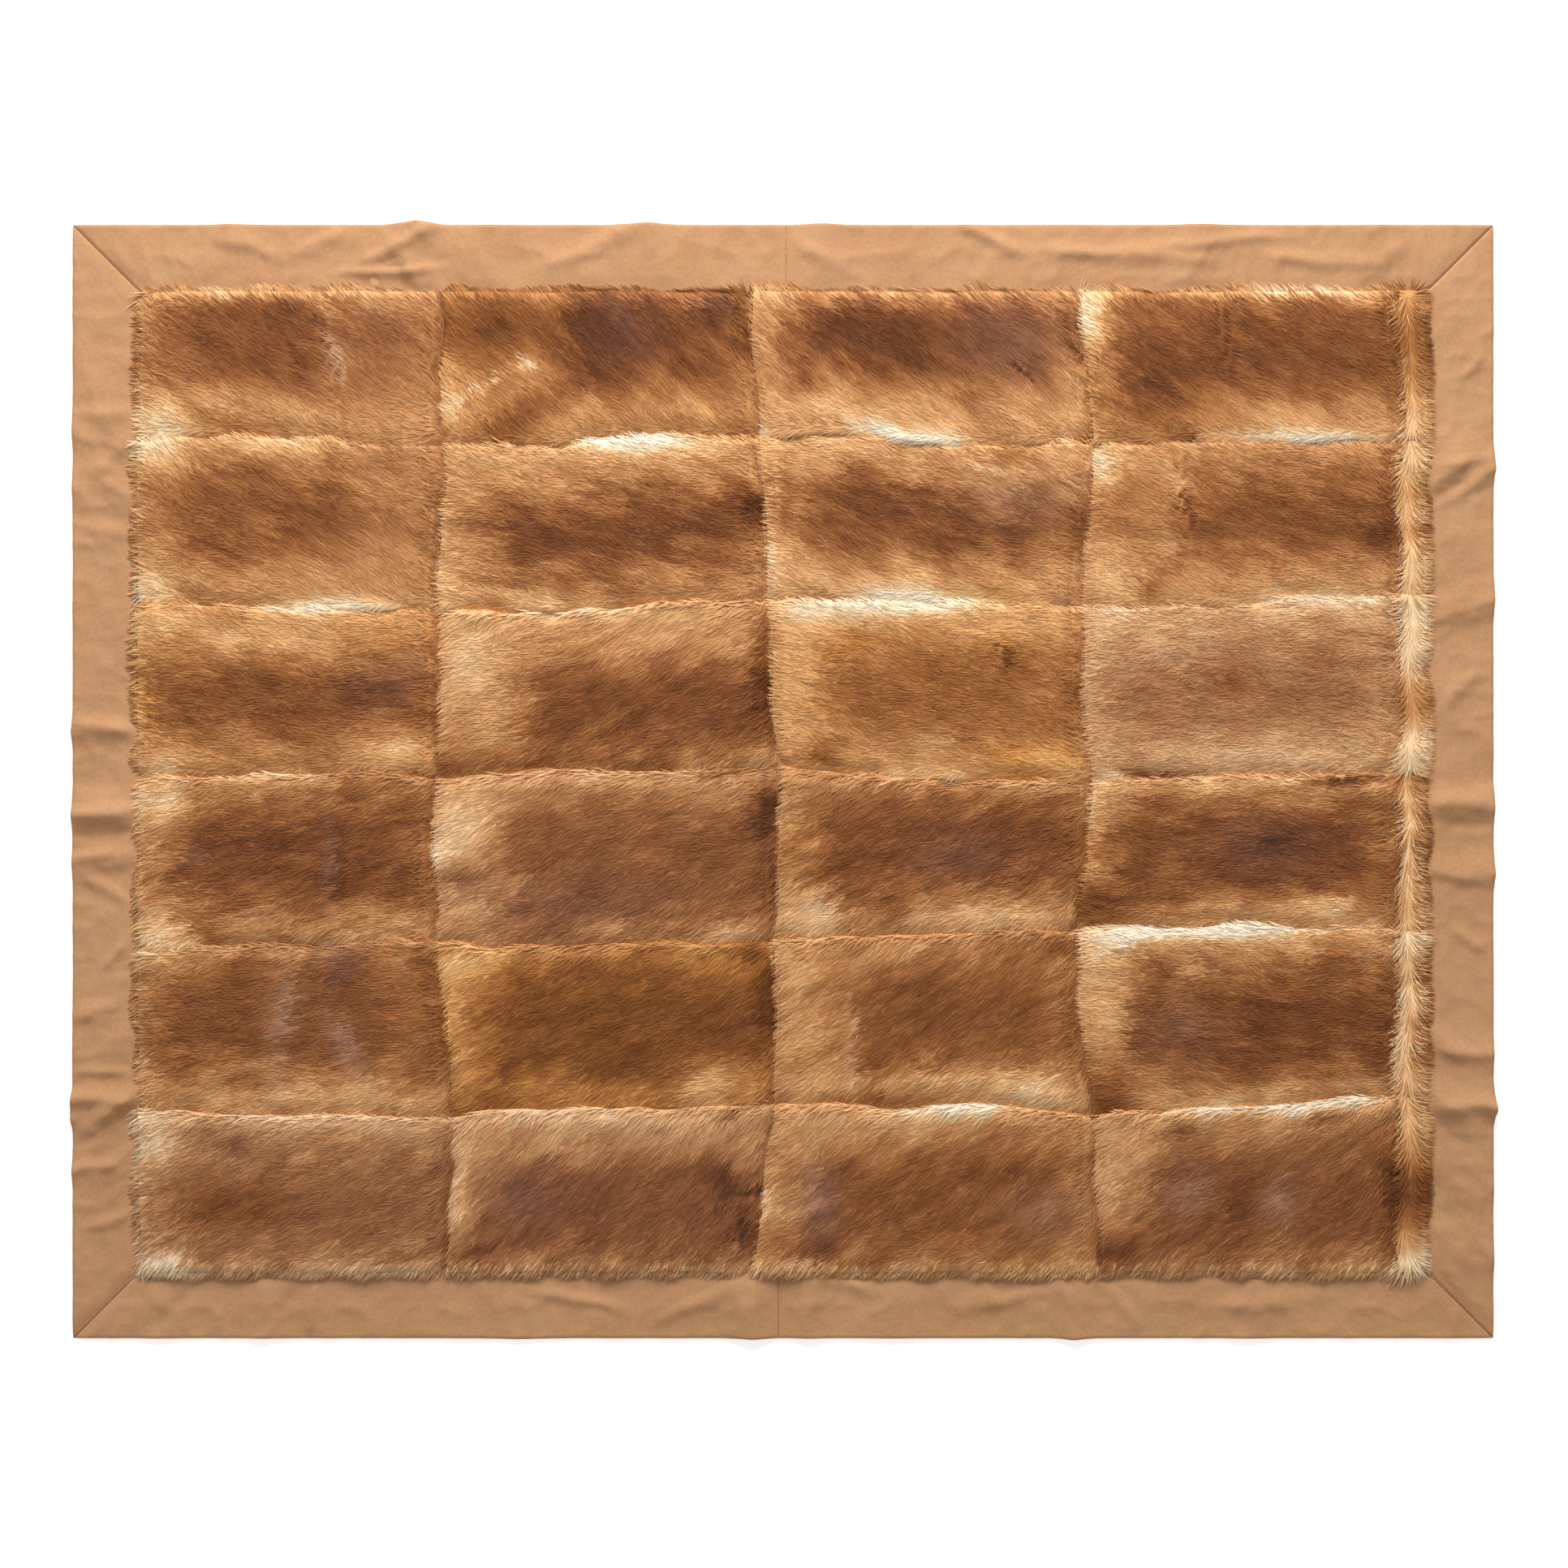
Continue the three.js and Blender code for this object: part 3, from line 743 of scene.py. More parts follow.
def inside(share, low, high, soft):
    """1 between low and high, 0 outside, with soft steps."""
    return ease((share - low) / soft + 0.5) * ease((high - share) / soft + 0.5)


def mark_strength(mark, x, y):
    """How much of a mark shows at each place, from 0 to 1."""
    sides = SIDES[mark["piece"]].values()
    low = np.min([side.min(0) for side in sides], 0)
    high = np.max([side.max(0) for side in sides], 0)
    dx = x - low[0] - mark["right"] * (high[0] - low[0])
    dy = y - low[1] - mark["up"] * (high[1] - low[1])
    across, up = turned(dx, dy, mark["turn"])
    return np.exp(-((across / mark["across"]) ** 2 + (up / mark["high"]) ** 2))


def fur_look(piece, x, y):
    """Tone, ash, gold and lift of the fur at places in millimetres."""
    row, seed = PELT_CHART[piece], piece_seed(piece)
    u, v, inward = shares(piece, x, y)
    *broad, fine = (unevenness(x, y, size, seed + n) for n, size in enumerate(WANDER_MM))
    wisps = combed(piece, x, y, *WISPS, seed + 15)
    u = u + ACROSS_WANDER[0] * broad[0] + ACROSS_WANDER[1] * fine + ACROSS_WANDER[2] * wisps
    v = v + UP_WANDER[0] * broad[1] + UP_WANDER[1] * fine + UP_WANDER[2] * wisps
    back = inside(u, row["left"], row["right"], BACK_EDGE)
    back = back * inside(v, row["foot"], row["head"], 2 * BACK_EDGE)
    tone = row["flank"] + (row["back"] - row["flank"]) * back
    tone = tone + DRIFT[0] * unevenness(x, y, DRIFT[1], seed + 3)
    for n, (strength, stretch, width) in enumerate(STREAKS):
        tone = tone + strength * combed(piece, x, y, stretch, width, seed + 20 + n)
    if not is_strip(piece):
        # the seam edges get painted shade and highlight, and the border's edges get paler tips
        for edge in SEAM_SHADE_AND_TONES:
            change, reach = (OUTER_TONES if is_outer(piece, edge) else SEAM_SHADE_AND_TONES)[edge]
            tone = tone + change * (1 - ease(inward[edge] / reach))
    look = {"tone": tone, "ash": row["ash"] + 0 * tone, "gold": row["gold"] + 0 * tone, "lift": 0 * tone}
    ragged = unevenness(x, y, WANDER_MM[2], seed + 5)
    warped = (
        x + BROAD_WARP[0] * broad[1] + FINE_WARP[0] * fine,
        y + BROAD_WARP[1] * broad[0] + FINE_WARP[1] * ragged,
    )
    # a mark adds colour, and where it sinks the fur, painted shade in the hollow
    for mark in MARK_CHART:
        if mark["piece"] == piece:
            strength = MARK_GAIN * mark_strength(mark, *warped)
            for key in look:
                look[key] = look[key] + mark[key] * strength
    return {key: np.clip(value, *LIMITS[key]) for key, value in look.items()}


print("The tone of the fur runs from", LIMITS["tone"][0], "to", LIMITS["tone"][1])

# %% [markdown]
# The height of the fur is another function. The fur stands highest over the pelt, dips at the foot
# and the right, and is still high at the head and the left. That step is what shades the seams in
# the photograph. Low lumps that follow the hair keep the surface from looking moulded.

# %% Height of the fur
CROWN, LOWEST, HIGHEST = 13.5, 3.0, 17.0
EDGES = {"head": 10.5, "left": 10.0, "foot": 8.0, "right": 6.2}
STRIP_EDGES = {"head": 11.0, "left": 11.0, "foot": 11.0, "right": 7.5}
OUTER_EDGE = {"head": 7.5, "left": 9.5, "foot": 12.5, "right": 9.5}
EDGE_REACH, EDGE_FALL = {"head": 16, "left": 13, "foot": 23, "right": 16}, 1.3
EDGE_WANDER = ((3.4, 36), (1.8, 13))  # how much the height of an edge varies, over what length
STRIP_CALM = 0.5  # the edge of the narrow strip varies less
LUMPS = ((1.6, 2.0, 34), (1.0, 2.4, 15), (0.55, 3.0, 7))  # height, stretch and width in mm


def skin_height(piece, x, y, lift):
    """Height of the leather's surface with its underfur, in millimetres."""
    inward, seed = shares(piece, x, y)[2], piece_seed(piece)
    height = CROWN + 0 * x
    for edge, low in (STRIP_EDGES if is_strip(piece) else EDGES).items():
        low = OUTER_EDGE[edge] if is_outer(piece, edge) else low
        for n, (rise, width) in enumerate(EDGE_WANDER):
            rise = STRIP_CALM * rise if is_strip(piece) else rise
            low = low + rise * unevenness(x, y, width, seed + 40 + n)
        height = height - (CROWN - low) * (1 - ease(inward[edge] / EDGE_REACH[edge])) ** EDGE_FALL
    for n, (rise, stretch, width) in enumerate(LUMPS):
        height = height + rise * combed(piece, x, y, stretch, width, seed + 30 + n)
    return np.clip(height + lift, LOWEST, HIGHEST)


print("The fur stands up to", CROWN, "mm high")

# %% [markdown]
# Fur lies one way, from the animal's head to its tail, and swirls a little about that direction.
# At the border it leans out over the cloth. At the head and the foot of a pelt it laps over the
# seam, and on the strip it falls to both sides of a parting.

# %% Lie of the hair
SWIRLS = ((13, 75), (11, 26), (10, 12))  # how the lie varies, in degrees, over what length
STRIP_SWIRL = 0.7
LEAN_OUT = {"head": 100, "left": 196, "foot": 256, "right": 352}
LEAN_REACH = {"head": 13, "left": 12, "foot": 16, "right": 12}
STRIP_HEAD = 0.4  # on the strip, the hair leans out over less of the head
OUTER_LEAN, SEAM_LEAN = 0.75, {"head": 0.2, "left": 0, "foot": 0.7, "right": 0}
LEAN_VARIES = (0.4, 20)  # the hair laps over a seam here more and there less
PARTING, PARTING_WIDE, PARTING_WANDER = 0.36, 0.7, (0.12, 24)  # where the strip's hair parts


def nap_angle(piece, x, y):
    """Direction in which the hair tips point, in radians."""
    seed, strip = piece_seed(piece), is_strip(piece)
    u, _, inward = shares(piece, x, y)
    swirl = sum(much * unevenness(x, y, size, seed + 6 + n) for n, (much, size) in enumerate(SWIRLS))
    swirl = swirl * (STRIP_SWIRL if strip else 1)
    angle = np.radians(PELT_CHART[piece]["nap"] + swirl)
    if strip:
        parting = PARTING + PARTING_WANDER[0] * unevenness(x, y, PARTING_WANDER[1], seed + 10)
        angle = angle + math.pi * ease((u - parting) / PARTING_WIDE + 0.5)
    flow = np.exp(1j * angle)
    varied = 1 + LEAN_VARIES[0] * unevenness(x, y, LEAN_VARIES[1], seed + 9)
    for edge, out in LEAN_OUT.items():
        much = OUTER_LEAN if is_outer(piece, edge) else SEAM_LEAN[edge] * (not strip) * varied
        reach = LEAN_REACH[edge] * (STRIP_HEAD if strip and edge == "head" else 1)
        near = much * (1 - ease(inward[edge] / reach))
        flow = flow * (1 - near) + near * np.exp(1j * math.radians(out))
    return np.angle(flow)


print("The hair swirls up to", sum(much for much, _ in SWIRLS), "degrees from its way")

# %% [markdown]
# The leather with its underfur is one closed mesh for each pelt: a fine grid on top, a wall down to
# the flat underside, and one face below. The outermost edges swell out a little over the border.
# The grid also carries what the hair needs to know: which way it lies, how long it is, how steeply
# it rises, and where it grows.

# %% Leather and underfur
GRID_MM = 7.5
# painted shade: the underfur takes the depth shade that a hair has this far along it
UNDERFUR = 0.6  # the underfur wears the colour that a hair has this far along it
SWELL, SWELL_FROM = 4.0, 4.2  # how far the fur swells over the border, and from what height
PUSH = {"left": (-1, 0), "right": (1, 0), "head": (0, 1), "foot": (0, -1)}
BODY_HAIR, RIM_HAIR, STRIP_HAIR = 16, 19, 24
OUTER_REACH = 14  # how far in the rim's longer hair begins
EDGE_LONGER, EDGE_LONG = 0.2, 11  # how much longer it is at the head and the left, and how far in
RIM_RISE, RIM_REACH = 0.13, 10  # how steeply the hair leaves a rim, in radians, and how far in
OUTER_RISE = 0.12  # and how much more steeply at the border
STRIP_RISE = 0.9  # what the strip keeps of that
PARTING_RISE, PARTING_SOFT = 0.1, 0.16  # how steeply the hair leaves the parting, and how far from it
STRIP_LAP = 0.16  # the strip's hair leaves its left edge more steeply, to lap over the pelt
STRIP_TRIM, TRIM_REACH = 0.42, 18  # how much shorter it is at the border, and over what width
WALL_HANG = 0.4  # the lie of the hair, on the wall under the rim, beside its way down


def grid_faces(across, up):
    """Quads of a grid whose point (i, j) has the index i * (up + 1) + j, facing up."""
    i, j = np.meshgrid(np.arange(across), np.arange(up), indexing="ij")
    a = (i * (up + 1) + j).ravel()
    return np.stack([a, a + up + 1, a + up + 2, a + 1], 1).tolist()


def rim_indices(across, up):
    """Indices round the grid's rim, anticlockwise from its first point."""
    step = up + 1
    foot = [i * step for i in range(across)]
    right = [across * step + j for j in range(up)]
    head = [i * step + up for i in range(across, 0, -1)]
    return foot + right + head + list(range(up, 0, -1))


def store(mesh, name, values, kind="FLOAT"):
    """Keeps one value for each point of the mesh under this name."""
    layer = mesh.attributes.new(name, kind, "POINT")
    key = "vector" if kind == "FLOAT_VECTOR" else "value"
    layer.data.foreach_set(key, np.asarray(values, np.float32).ravel())


def skin_mesh(piece):
    """The leather and underfur of one pelt, with what the hair needs as attributes."""
    sides, strip = SIDES[piece], is_strip(piece)
    span = np.ptp(np.vstack(list(sides.values())), axis=0)
    across, up = (max(4, round(length / GRID_MM)) for length in span)
    flat = patch(sides, across, up).reshape(-1, 2)
    x, y = flat.T
    u, _, inward = shares(piece, x, y)
    look = fur_look(piece, x, y)
    swollen, outer, fringed = flat.copy(), np.zeros(len(flat)), np.zeros(len(flat))
    for edge in inward:
        if is_outer(piece, edge):
            swollen += SWELL * np.outer(inward[edge] < GRID_MM / 4, PUSH[edge])
            outer = np.maximum(outer, 1 - ease(inward[edge] / OUTER_REACH))
            fringed = np.maximum(fringed, inward[edge] < GRID_MM / 2)

    rim = rim_indices(across, up)
    around, count = len(rim), len(flat)
    top = np.column_stack([swollen, skin_height(piece, x, y, look["lift"])])
    lower = [np.column_stack([flat[rim], np.full(around, high)]) for high in (SWELL_FROM - 1, 0)]
    faces = grid_faces(across, up)
    rings = [rim, list(range(count, count + around)), list(range(count + around, count + 2 * around))]
    for ring, below in zip(rings, rings[1:]):
        for k in range(around):
            after = (k + 1) % around
            faces.append([ring[k], below[k], below[after], ring[after]])
    faces.append(rings[2][::-1])
    mesh = bpy.data.meshes.new(piece + "_leather")
    mesh.from_pydata((np.vstack([top, *lower]) * MM).tolist(), [], faces)

    bare = np.zeros(2 * around)
    angle = nap_angle(piece, x, y)
    lie = np.column_stack([np.cos(angle), np.sin(angle), np.zeros(count)])
    body = STRIP_HAIR if strip else BODY_HAIR
    longer = 1 - ease(np.minimum(inward["head"], inward["left"]) / EDGE_LONG)
    reach = (body + (RIM_HAIR - BODY_HAIR) * outer) * (1 + EDGE_LONGER * longer) * MM
    nearest = np.minimum.reduce(list(inward.values()))
    rise = (RIM_RISE + OUTER_RISE * outer) * (1 - ease(nearest / RIM_REACH))
    if strip:
        reach = reach * (1 - STRIP_TRIM * (1 - ease(inward["right"] / TRIM_REACH)))
        rise = STRIP_RISE * rise + PARTING_RISE * np.exp(-(((u - PARTING) / PARTING_SOFT) ** 2))
        rise = rise + STRIP_LAP * (1 - ease(inward["left"] / RIM_REACH))
    for key in ("tone", "ash", "gold"):
        store(mesh, key, np.append(look[key], look[key][rim * 2]))
    hanging = WALL_HANG * lie[rim * 2] - np.array([0, 0, 1])
    store(mesh, "lie", np.vstack([lie, hanging]), "FLOAT_VECTOR")
    store(mesh, "along", np.full(count + len(bare), UNDERFUR))
    grown = {"reach": reach, "grows": np.ones(count), "outermost": fringed, "rise": rise}
    for key, values in grown.items():
        store(mesh, key, np.append(values, bare))
    mesh.shade_smooth()
    return mesh


skins = {}
for piece in PELT_CHART:
    skins[piece] = new_object(piece + "_leather", skin_mesh(piece))
faces = sum(len(skin.data.polygons) for skin in skins.values())
print("Leather pieces:", len(skins), "with", faces, "faces")

# %% [markdown]
# Real fur has some thousand hairs to the square centimetre. The eye sees them as tufts, one or two
# millimetres wide, that lie over each other like shingles. A tuft here is a closed kite of
# four triangles: its root is sunk in the underfur, its two shoulders arch up, and its tip comes
# down again. Three kites that bend differently are enough, because each is turned and stretched.

# %% Tuft shapes
SHOULDER, ROOT_SINK, TIP_RISE = 0.36, -1.0, 0.5
TIP_BENDS = (-1.1, 0.0, 1.1)  # sideways, in widths

tuft_shapes = bpy.data.collections.new("tuft_shapes")
for n, bend in enumerate(TIP_BENDS):
    mesh = bpy.data.meshes.new(f"tuft_{n}")
    points = [(0, 0, ROOT_SINK), (SHOULDER, 0.5, 1), (SHOULDER, -0.5, 1), (1, bend, TIP_RISE)]
    mesh.from_pydata(points, [], [(0, 2, 1), (1, 2, 3), (0, 1, 3), (0, 3, 2)])
    store(mesh, "along", [0, 0.45, 0.45, 1])
    store(mesh, "strand", [0, 0.5, -0.5, 0])
    tuft_shapes.objects.link(bpy.data.objects.new(f"tuft_{n}", mesh))

# %% [markdown]
# Geometry Nodes make what repeats: here the tufts, and later the stitches of the border. Each tree
# has its sizes as named inputs. It ends by making its instances real, because an export drops
# instances, and by giving them their material. A host object runs it, and the result is kept as a
# plain mesh.


# %% Helpers for Geometry Nodes
def new_tree(name, takes, gives):
    """A Geometry Nodes tree with these inputs and one output, and the sockets of its inputs."""
    tree = bpy.data.node_groups.new(name, "GeometryNodeTree")
    for key, kind in takes.items():
        tree.interface.new_socket(name=key, in_out="INPUT", socket_type="NodeSocket" + kind)
    tree.interface.new_socket(name=gives, in_out="OUTPUT", socket_type="NodeSocketGeometry")
    return tree, tree.nodes.new("NodeGroupInput").outputs


def end_tree(tree, parts, material, gives):
    """Joins the parts, makes them real and gives them their material."""
    joined = add_node(tree, "GeometryNodeJoinGeometry")
    for part in parts:
        tree.links.new(part.outputs[0], joined.inputs[0])
    real = add_node(tree, "GeometryNodeRealizeInstances", {"Geometry": joined})
    dressed = {"Geometry": real, "Material": material}
    add_node(tree, "NodeGroupOutput", {gives: add_node(tree, "GeometryNodeSetMaterial", dressed)})
    return tree


def run_tree(host, tree, name, inputs):
    """The result of a Geometry Nodes tree on a host object, as a plain mesh object."""
    modifier = host.modifiers.new(tree.name, "NODES")
    modifier.node_group = tree
    for item in tree.interface.items_tree:
        if item.in_out == "INPUT" and item.name in inputs:
            modifier[item.identifier] = inputs[item.name]
    graph = bpy.context.evaluated_depsgraph_get()
    mesh = bpy.data.meshes.new_from_object(
        host.evaluated_get(graph), preserve_all_data_layers=True, depsgraph=graph
    )
    host.modifiers.remove(modifier)
    mesh.name = name
    return new_object(name, mesh)


# %% [markdown]
# This tree plants the tufts. It scatters points over the leather where hair grows, never closer
# than the spacing, lays a tuft at each along the lie of the fur, and varies its length, width, turn
# and dip at random. A finer fringe grows at the outer edge. The tree keeps each root's place, so
# that the chart can colour the hair by where it grows.

# %% Planting the fur
GROWN = {"grows": "FLOAT", "outermost": "FLOAT", "lie": "FLOAT_VECTOR", "rise": "FLOAT", "reach": "FLOAT"}
CHANCES = {  # the lowest and highest value of what varies, and what is added to the seed
    "stray": (-1.0, 1.0, 11),
    "roll": (-0.17, 0.17, 12),
    "dip": (-0.1, 0.0, 13),
    "turn": (-1.0, 1.0, 14),
    "long": (0.65, 1.25, 15),
    "wide": (0.6, 1.3, 16),
}
DENSEST = 900000.0  # points to the square metre before the spacing thins them


def planting_tree(shapes):
    """Scatters tufts over a leather mesh."""
    takes = {"Leather": "Geometry", "Spacing": "Float", "Width": "Float"}
    takes |= {"Fringe Spacing": "Float", "Fringe Width": "Float"}
    takes |= {"Lift": "Float", "Unruly": "Float", "Seed": "Int", "Fur": "Material"}
    tree, given = new_tree("Plant fur", takes, "Hair")
    grown, chance = {}, {}
    for name, kind in GROWN.items():
        node = add_node(tree, "GeometryNodeInputNamedAttribute", {"Name": name}, data_type=kind)
        grown[name] = node.outputs["Attribute"]
    for name, (low, high, offset) in CHANCES.items():
        seed = add_node(tree, MATHS, {0: given["Seed"], 1: float(offset)}, operation="ADD")
        node = add_node(tree, "FunctionNodeRandomValue", {2: low, 3: high, "Seed": seed})
        chance[name] = node.outputs[1]
    dip = add_node(tree, MATHS, {0: chance["dip"], 1: grown["rise"]}, operation="SUBTRACT")
    turn = add_node(tree, MATHS, {0: given["Unruly"], 1: chance["turn"]}, operation="MULTIPLY")
    turn = add_node(tree, "ShaderNodeCombineXYZ", {"X": chance["roll"], "Y": dip, "Z": turn})
    turn = add_node(tree, "FunctionNodeEulerToRotation", {"Euler": turn})
    long = add_node(tree, MATHS, {0: grown["reach"], 1: chance["long"]}, operation="MULTIPLY")
    pick = add_node(tree, "FunctionNodeRandomValue", {4: 0, 5: len(TIP_BENDS) - 1}, data_type="INT")
    kinds = {"Collection": shapes, "Separate Children": True, "Reset Children": True}
    kinds = add_node(tree, "GeometryNodeCollectionInfo", kinds)
    place = add_node(tree, "GeometryNodeInputPosition")
    parts = []
    for where, spacing, width in (
        ("grows", given["Spacing"], given["Width"]),
        ("outermost", given["Fringe Spacing"], given["Fringe Width"]),
    ):
        planted = {"Mesh": given["Leather"], "Distance Min": spacing, "Density Max": DENSEST}
        planted |= {"Density Factor": grown[where], "Seed": given["Seed"]}
        scatter = "GeometryNodeDistributePointsOnFaces"
        planted = add_node(tree, scatter, planted, distribute_method="POISSON")
        kept = planted
        for name, value, kind in (("root", place, "FLOAT_VECTOR"), ("stray", chance["stray"], "FLOAT")):
            kept = {"Geometry": kept, "Name": name, "Value": value}
            kept = add_node(tree, "GeometryNodeStoreNamedAttribute", kept, data_type=kind)
        laid = {"Vector": planted.outputs["Normal"]}
        laid = add_node(tree, "FunctionNodeAlignRotationToVector", laid, axis="Z")
        laid = {"Rotation": laid, "Vector": grown["lie"]}
        laid = add_node(tree, "FunctionNodeAlignRotationToVector", laid, axis="X", pivot_axis="Z")
        laid = {"Rotation": laid, "Rotate By": turn}
        laid = add_node(tree, "FunctionNodeRotateRotation", laid, rotation_space="LOCAL")
        wide = add_node(tree, MATHS, {0: width, 1: chance["wide"]}, operation="MULTIPLY")
        size = add_node(tree, "ShaderNodeCombineXYZ", {"X": long, "Y": wide, "Z": given["Lift"]})
        tufts = {"Points": kept, "Instance": kinds, "Pick Instance": True}
        tufts |= {"Instance Index": pick.outputs[2], "Rotation": laid, "Scale": size}
        parts.append(add_node(tree, "GeometryNodeInstanceOnPoints", tufts))
    return end_tree(tree, parts, given["Fur"], "Hair")


planting = planting_tree(tuft_shapes)
print("The planting tree has", len(planting.nodes), "nodes")

# %% [markdown]
# Now the fur is planted, pelt by pelt. Hair that would sink into the cloth or the floor is lifted
# to lie on it, and each hair is coloured by the chart at its root. The leather keeps its place
# under it and wears the same fur colours, so that no bare spot shows.

# %% Fur of every pelt
PELT_TUFTS = {"Spacing": 2.66 * MM, "Width": 1.55 * MM, "Lift": 0.45 * MM, "Unruly": 0.2}
STRIP_TUFTS = {"Spacing": 1.85 * MM, "Width": 1.05 * MM, "Lift": 0.3 * MM, "Unruly": 0.16}
FRINGE = {"Fringe Spacing": 1.6 * MM, "Fringe Width": 0.95 * MM}
STREAM = 9  # how far a patch of colour is drawn out along the hair
REST_ON_CLOTH, REST_ON_LEATHER, TALLEST = 3.4, 0.8, 23.5
CLOTH_UNDER = 1  # the cloth reaches this far under the fur
SOFT = 1.2  # how softly the hair comes to rest, in mm


def rest_hair(piece, hair):
    """Lifts hair that would sink into the cloth or the floor, so that it lies on them."""
    vertices = hair.data.vertices
    place = np.empty(len(vertices) * 3, np.float32)
    vertices.foreach_get("co", place)
    place = place.reshape(-1, 3).astype(float) / MM
    _, _, inward = shares(piece, place[:, 0], place[:, 1])
    past = [-inward[edge] for edge in inward if is_outer(piece, edge)]
    outside = np.maximum.reduce(past or [0 * place[:, 0]])
    bed = np.where(outside > -CLOTH_UNDER, REST_ON_CLOTH, REST_ON_LEATHER)
    height = bed + SOFT * np.logaddexp(0, (place[:, 2] - bed) / SOFT)
    place[:, 2] = np.minimum(height, TALLEST)
    vertices.foreach_set("co", (place * MM).astype(np.float32).ravel())


def colour_hair(piece, hair):
    """Sets tone, ash and gold of each hair from the chart, at its root."""
    mesh = hair.data
    root = np.empty(len(mesh.vertices) * 3, np.float32)
    mesh.attributes["root"].data.foreach_get("vector", root)
    x, y, _ = root.reshape(-1, 3).T.astype(float) / MM
    stray = np.empty(len(mesh.vertices), np.float32)
    mesh.attributes["stray"].data.foreach_get("value", stray)
    turn = math.radians(PELT_CHART[piece]["nap"])
    look = fur_look(piece, x + STREAM * math.cos(turn) * stray, y + STREAM * math.sin(turn) * stray)
    for spare in ("root", *GROWN, "tone", "ash", "gold"):
        if spare in mesh.attributes:
            mesh.attributes.remove(mesh.attributes[spare])
    for key in ("tone", "ash", "gold"):
        store(mesh, key, look[key])


triangles = 0
for piece, skin in skins.items():
    strip = is_strip(piece)
    wears, tufts = (strip_fur, STRIP_TUFTS) if strip else (pelt_fur, PELT_TUFTS)
    given = {**tufts, **FRINGE, "Seed": piece_seed(piece), "Fur": wears}
    hair = run_tree(skin, planting, piece + "_fur", given)
    rest_hair(piece, hair)
    colour_hair(piece, hair)
    skin.data.materials.append(wears)
    triangles += len(hair.data.polygons)
    sides = SIDES[piece]
    outline = [sides["foot"][:-1], sides["right"][:-1], sides["head"][:0:-1], sides["left"][:0:-1]]
    outline = np.vstack(outline) * MM
    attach(skin, "root")
    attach(hair, "root")
    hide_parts(piece)
    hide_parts(piece)
print("Tufts planted:", triangles // 4, "of", triangles, "triangles in all")

# %% [markdown]
# The border is a brushed woollen cloth in camel, woven as a fine twill and fulled until the threads
# blur. At this distance it shows a soft grain, a slightly heathered colour and a matt nap. The grain
# is a bump, and its low parts are also darkened, which is painted shade between the threads. The
# threads are drawn at twice their real pitch, so that they still show in the picture.

# %% Wool cloth material
CAMEL, CAMEL_DEEP = "#CD9C71", "#BC8A60"
WOOL_FINISH = {"Roughness": 0.92, "Specular IOR Level": 0.2, "Sheen Weight": 0.3}
WOOL_FINISH |= {"Sheen Roughness": 0.45, "Sheen Tint": colour("#F3D6B6")}
HEATHER = ((4, 5.0, 0.6), (90, 2.0, 0.4))  # size in mm, detail and share of its patches of colour
# painted shade between the threads: the colour runs from the first factor where the weave is low to the
# second where it is high
THREAD_MM, THREAD_SHADE, THREAD_HIGH = 1.2, (0.88, 1.06), 0.25
WAVE_AT_ONE = 0.31416  # metres between two bands of a wave texture of scale 1


def wool_material():
    """Fulled wool twill: matt, with a short nap that catches light at its edges."""
    material = new_material("Fulled wool twill", WOOL_FINISH)
    tree = material.node_tree
    shader = tree.nodes["Principled BSDF"].inputs
    place = add_node(tree, "ShaderNodeTexCoord").outputs["Object"]
    cast = 0.0
    for size, detail, share in HEATHER:
        noise = {"Vector": place, "Scale": 1 / (size * MM), "Detail": detail}
        noise = add_node(tree, "ShaderNodeTexNoise", noise).outputs["Fac"]
        cast = add_node(tree, MATHS, {0: noise, 1: share, 2: cast}, operation="MULTIPLY_ADD")
    body = ramp(tree, [(0.3, CAMEL_DEEP), (0.66, CAMEL)], cast)
    waves = []
    for turn in (45, -45):
        wave = {"Vector": place, "Rotation": (0, 0, math.radians(turn))}
        wave = {"Vector": add_node(tree, "ShaderNodeMapping", wave), "Distortion": 3.0, "Detail": 2.0}
        wave["Scale"] = WAVE_AT_ONE / (THREAD_MM * MM)
        waves.append(add_node(tree, "ShaderNodeTexWave", wave).outputs["Fac"])
    weave = add_node(tree, MATHS, {0: waves[0], 1: waves[1]}, operation="MULTIPLY")
    bump = {"Height": weave, "Strength": 0.6, "Distance": THREAD_HIGH * MM}
    bump = add_node(tree, "ShaderNodeBump", bump)
    # painted shade: the cloth is darker where the weave is low, between the threads
    shade = {"Value": weave, "To Min": THREAD_SHADE[0], "To Max": THREAD_SHADE[1]}
    shade = {0: body, "Scale": add_node(tree, "ShaderNodeMapRange", shade)}
    shaded = add_node(tree, "ShaderNodeVectorMath", shade, operation="SCALE")
    tree.links.new(shaded.outputs[0], shader["Base Color"])
    tree.links.new(bump.outputs[0], shader["Normal"])
    return material


wool = wool_material()
print("The border wears", wool.name)

# %% [markdown]
# The folds that show on the border are charted as soft ridges. Each has its place from the
# throw's middle, its half-length as `long`, its half-width as `wide` and its height as `high`, all
# in millimetres, and its turn in degrees.

# %% Folds of the border
CREASE_GAIN, CREASE_END = 1.9, 0.4  # how much higher a fold is drawn, and where it starts to fade
CREASE_BEND = (5, 40, 61)  # how far a fold bends, over what length, and a seed

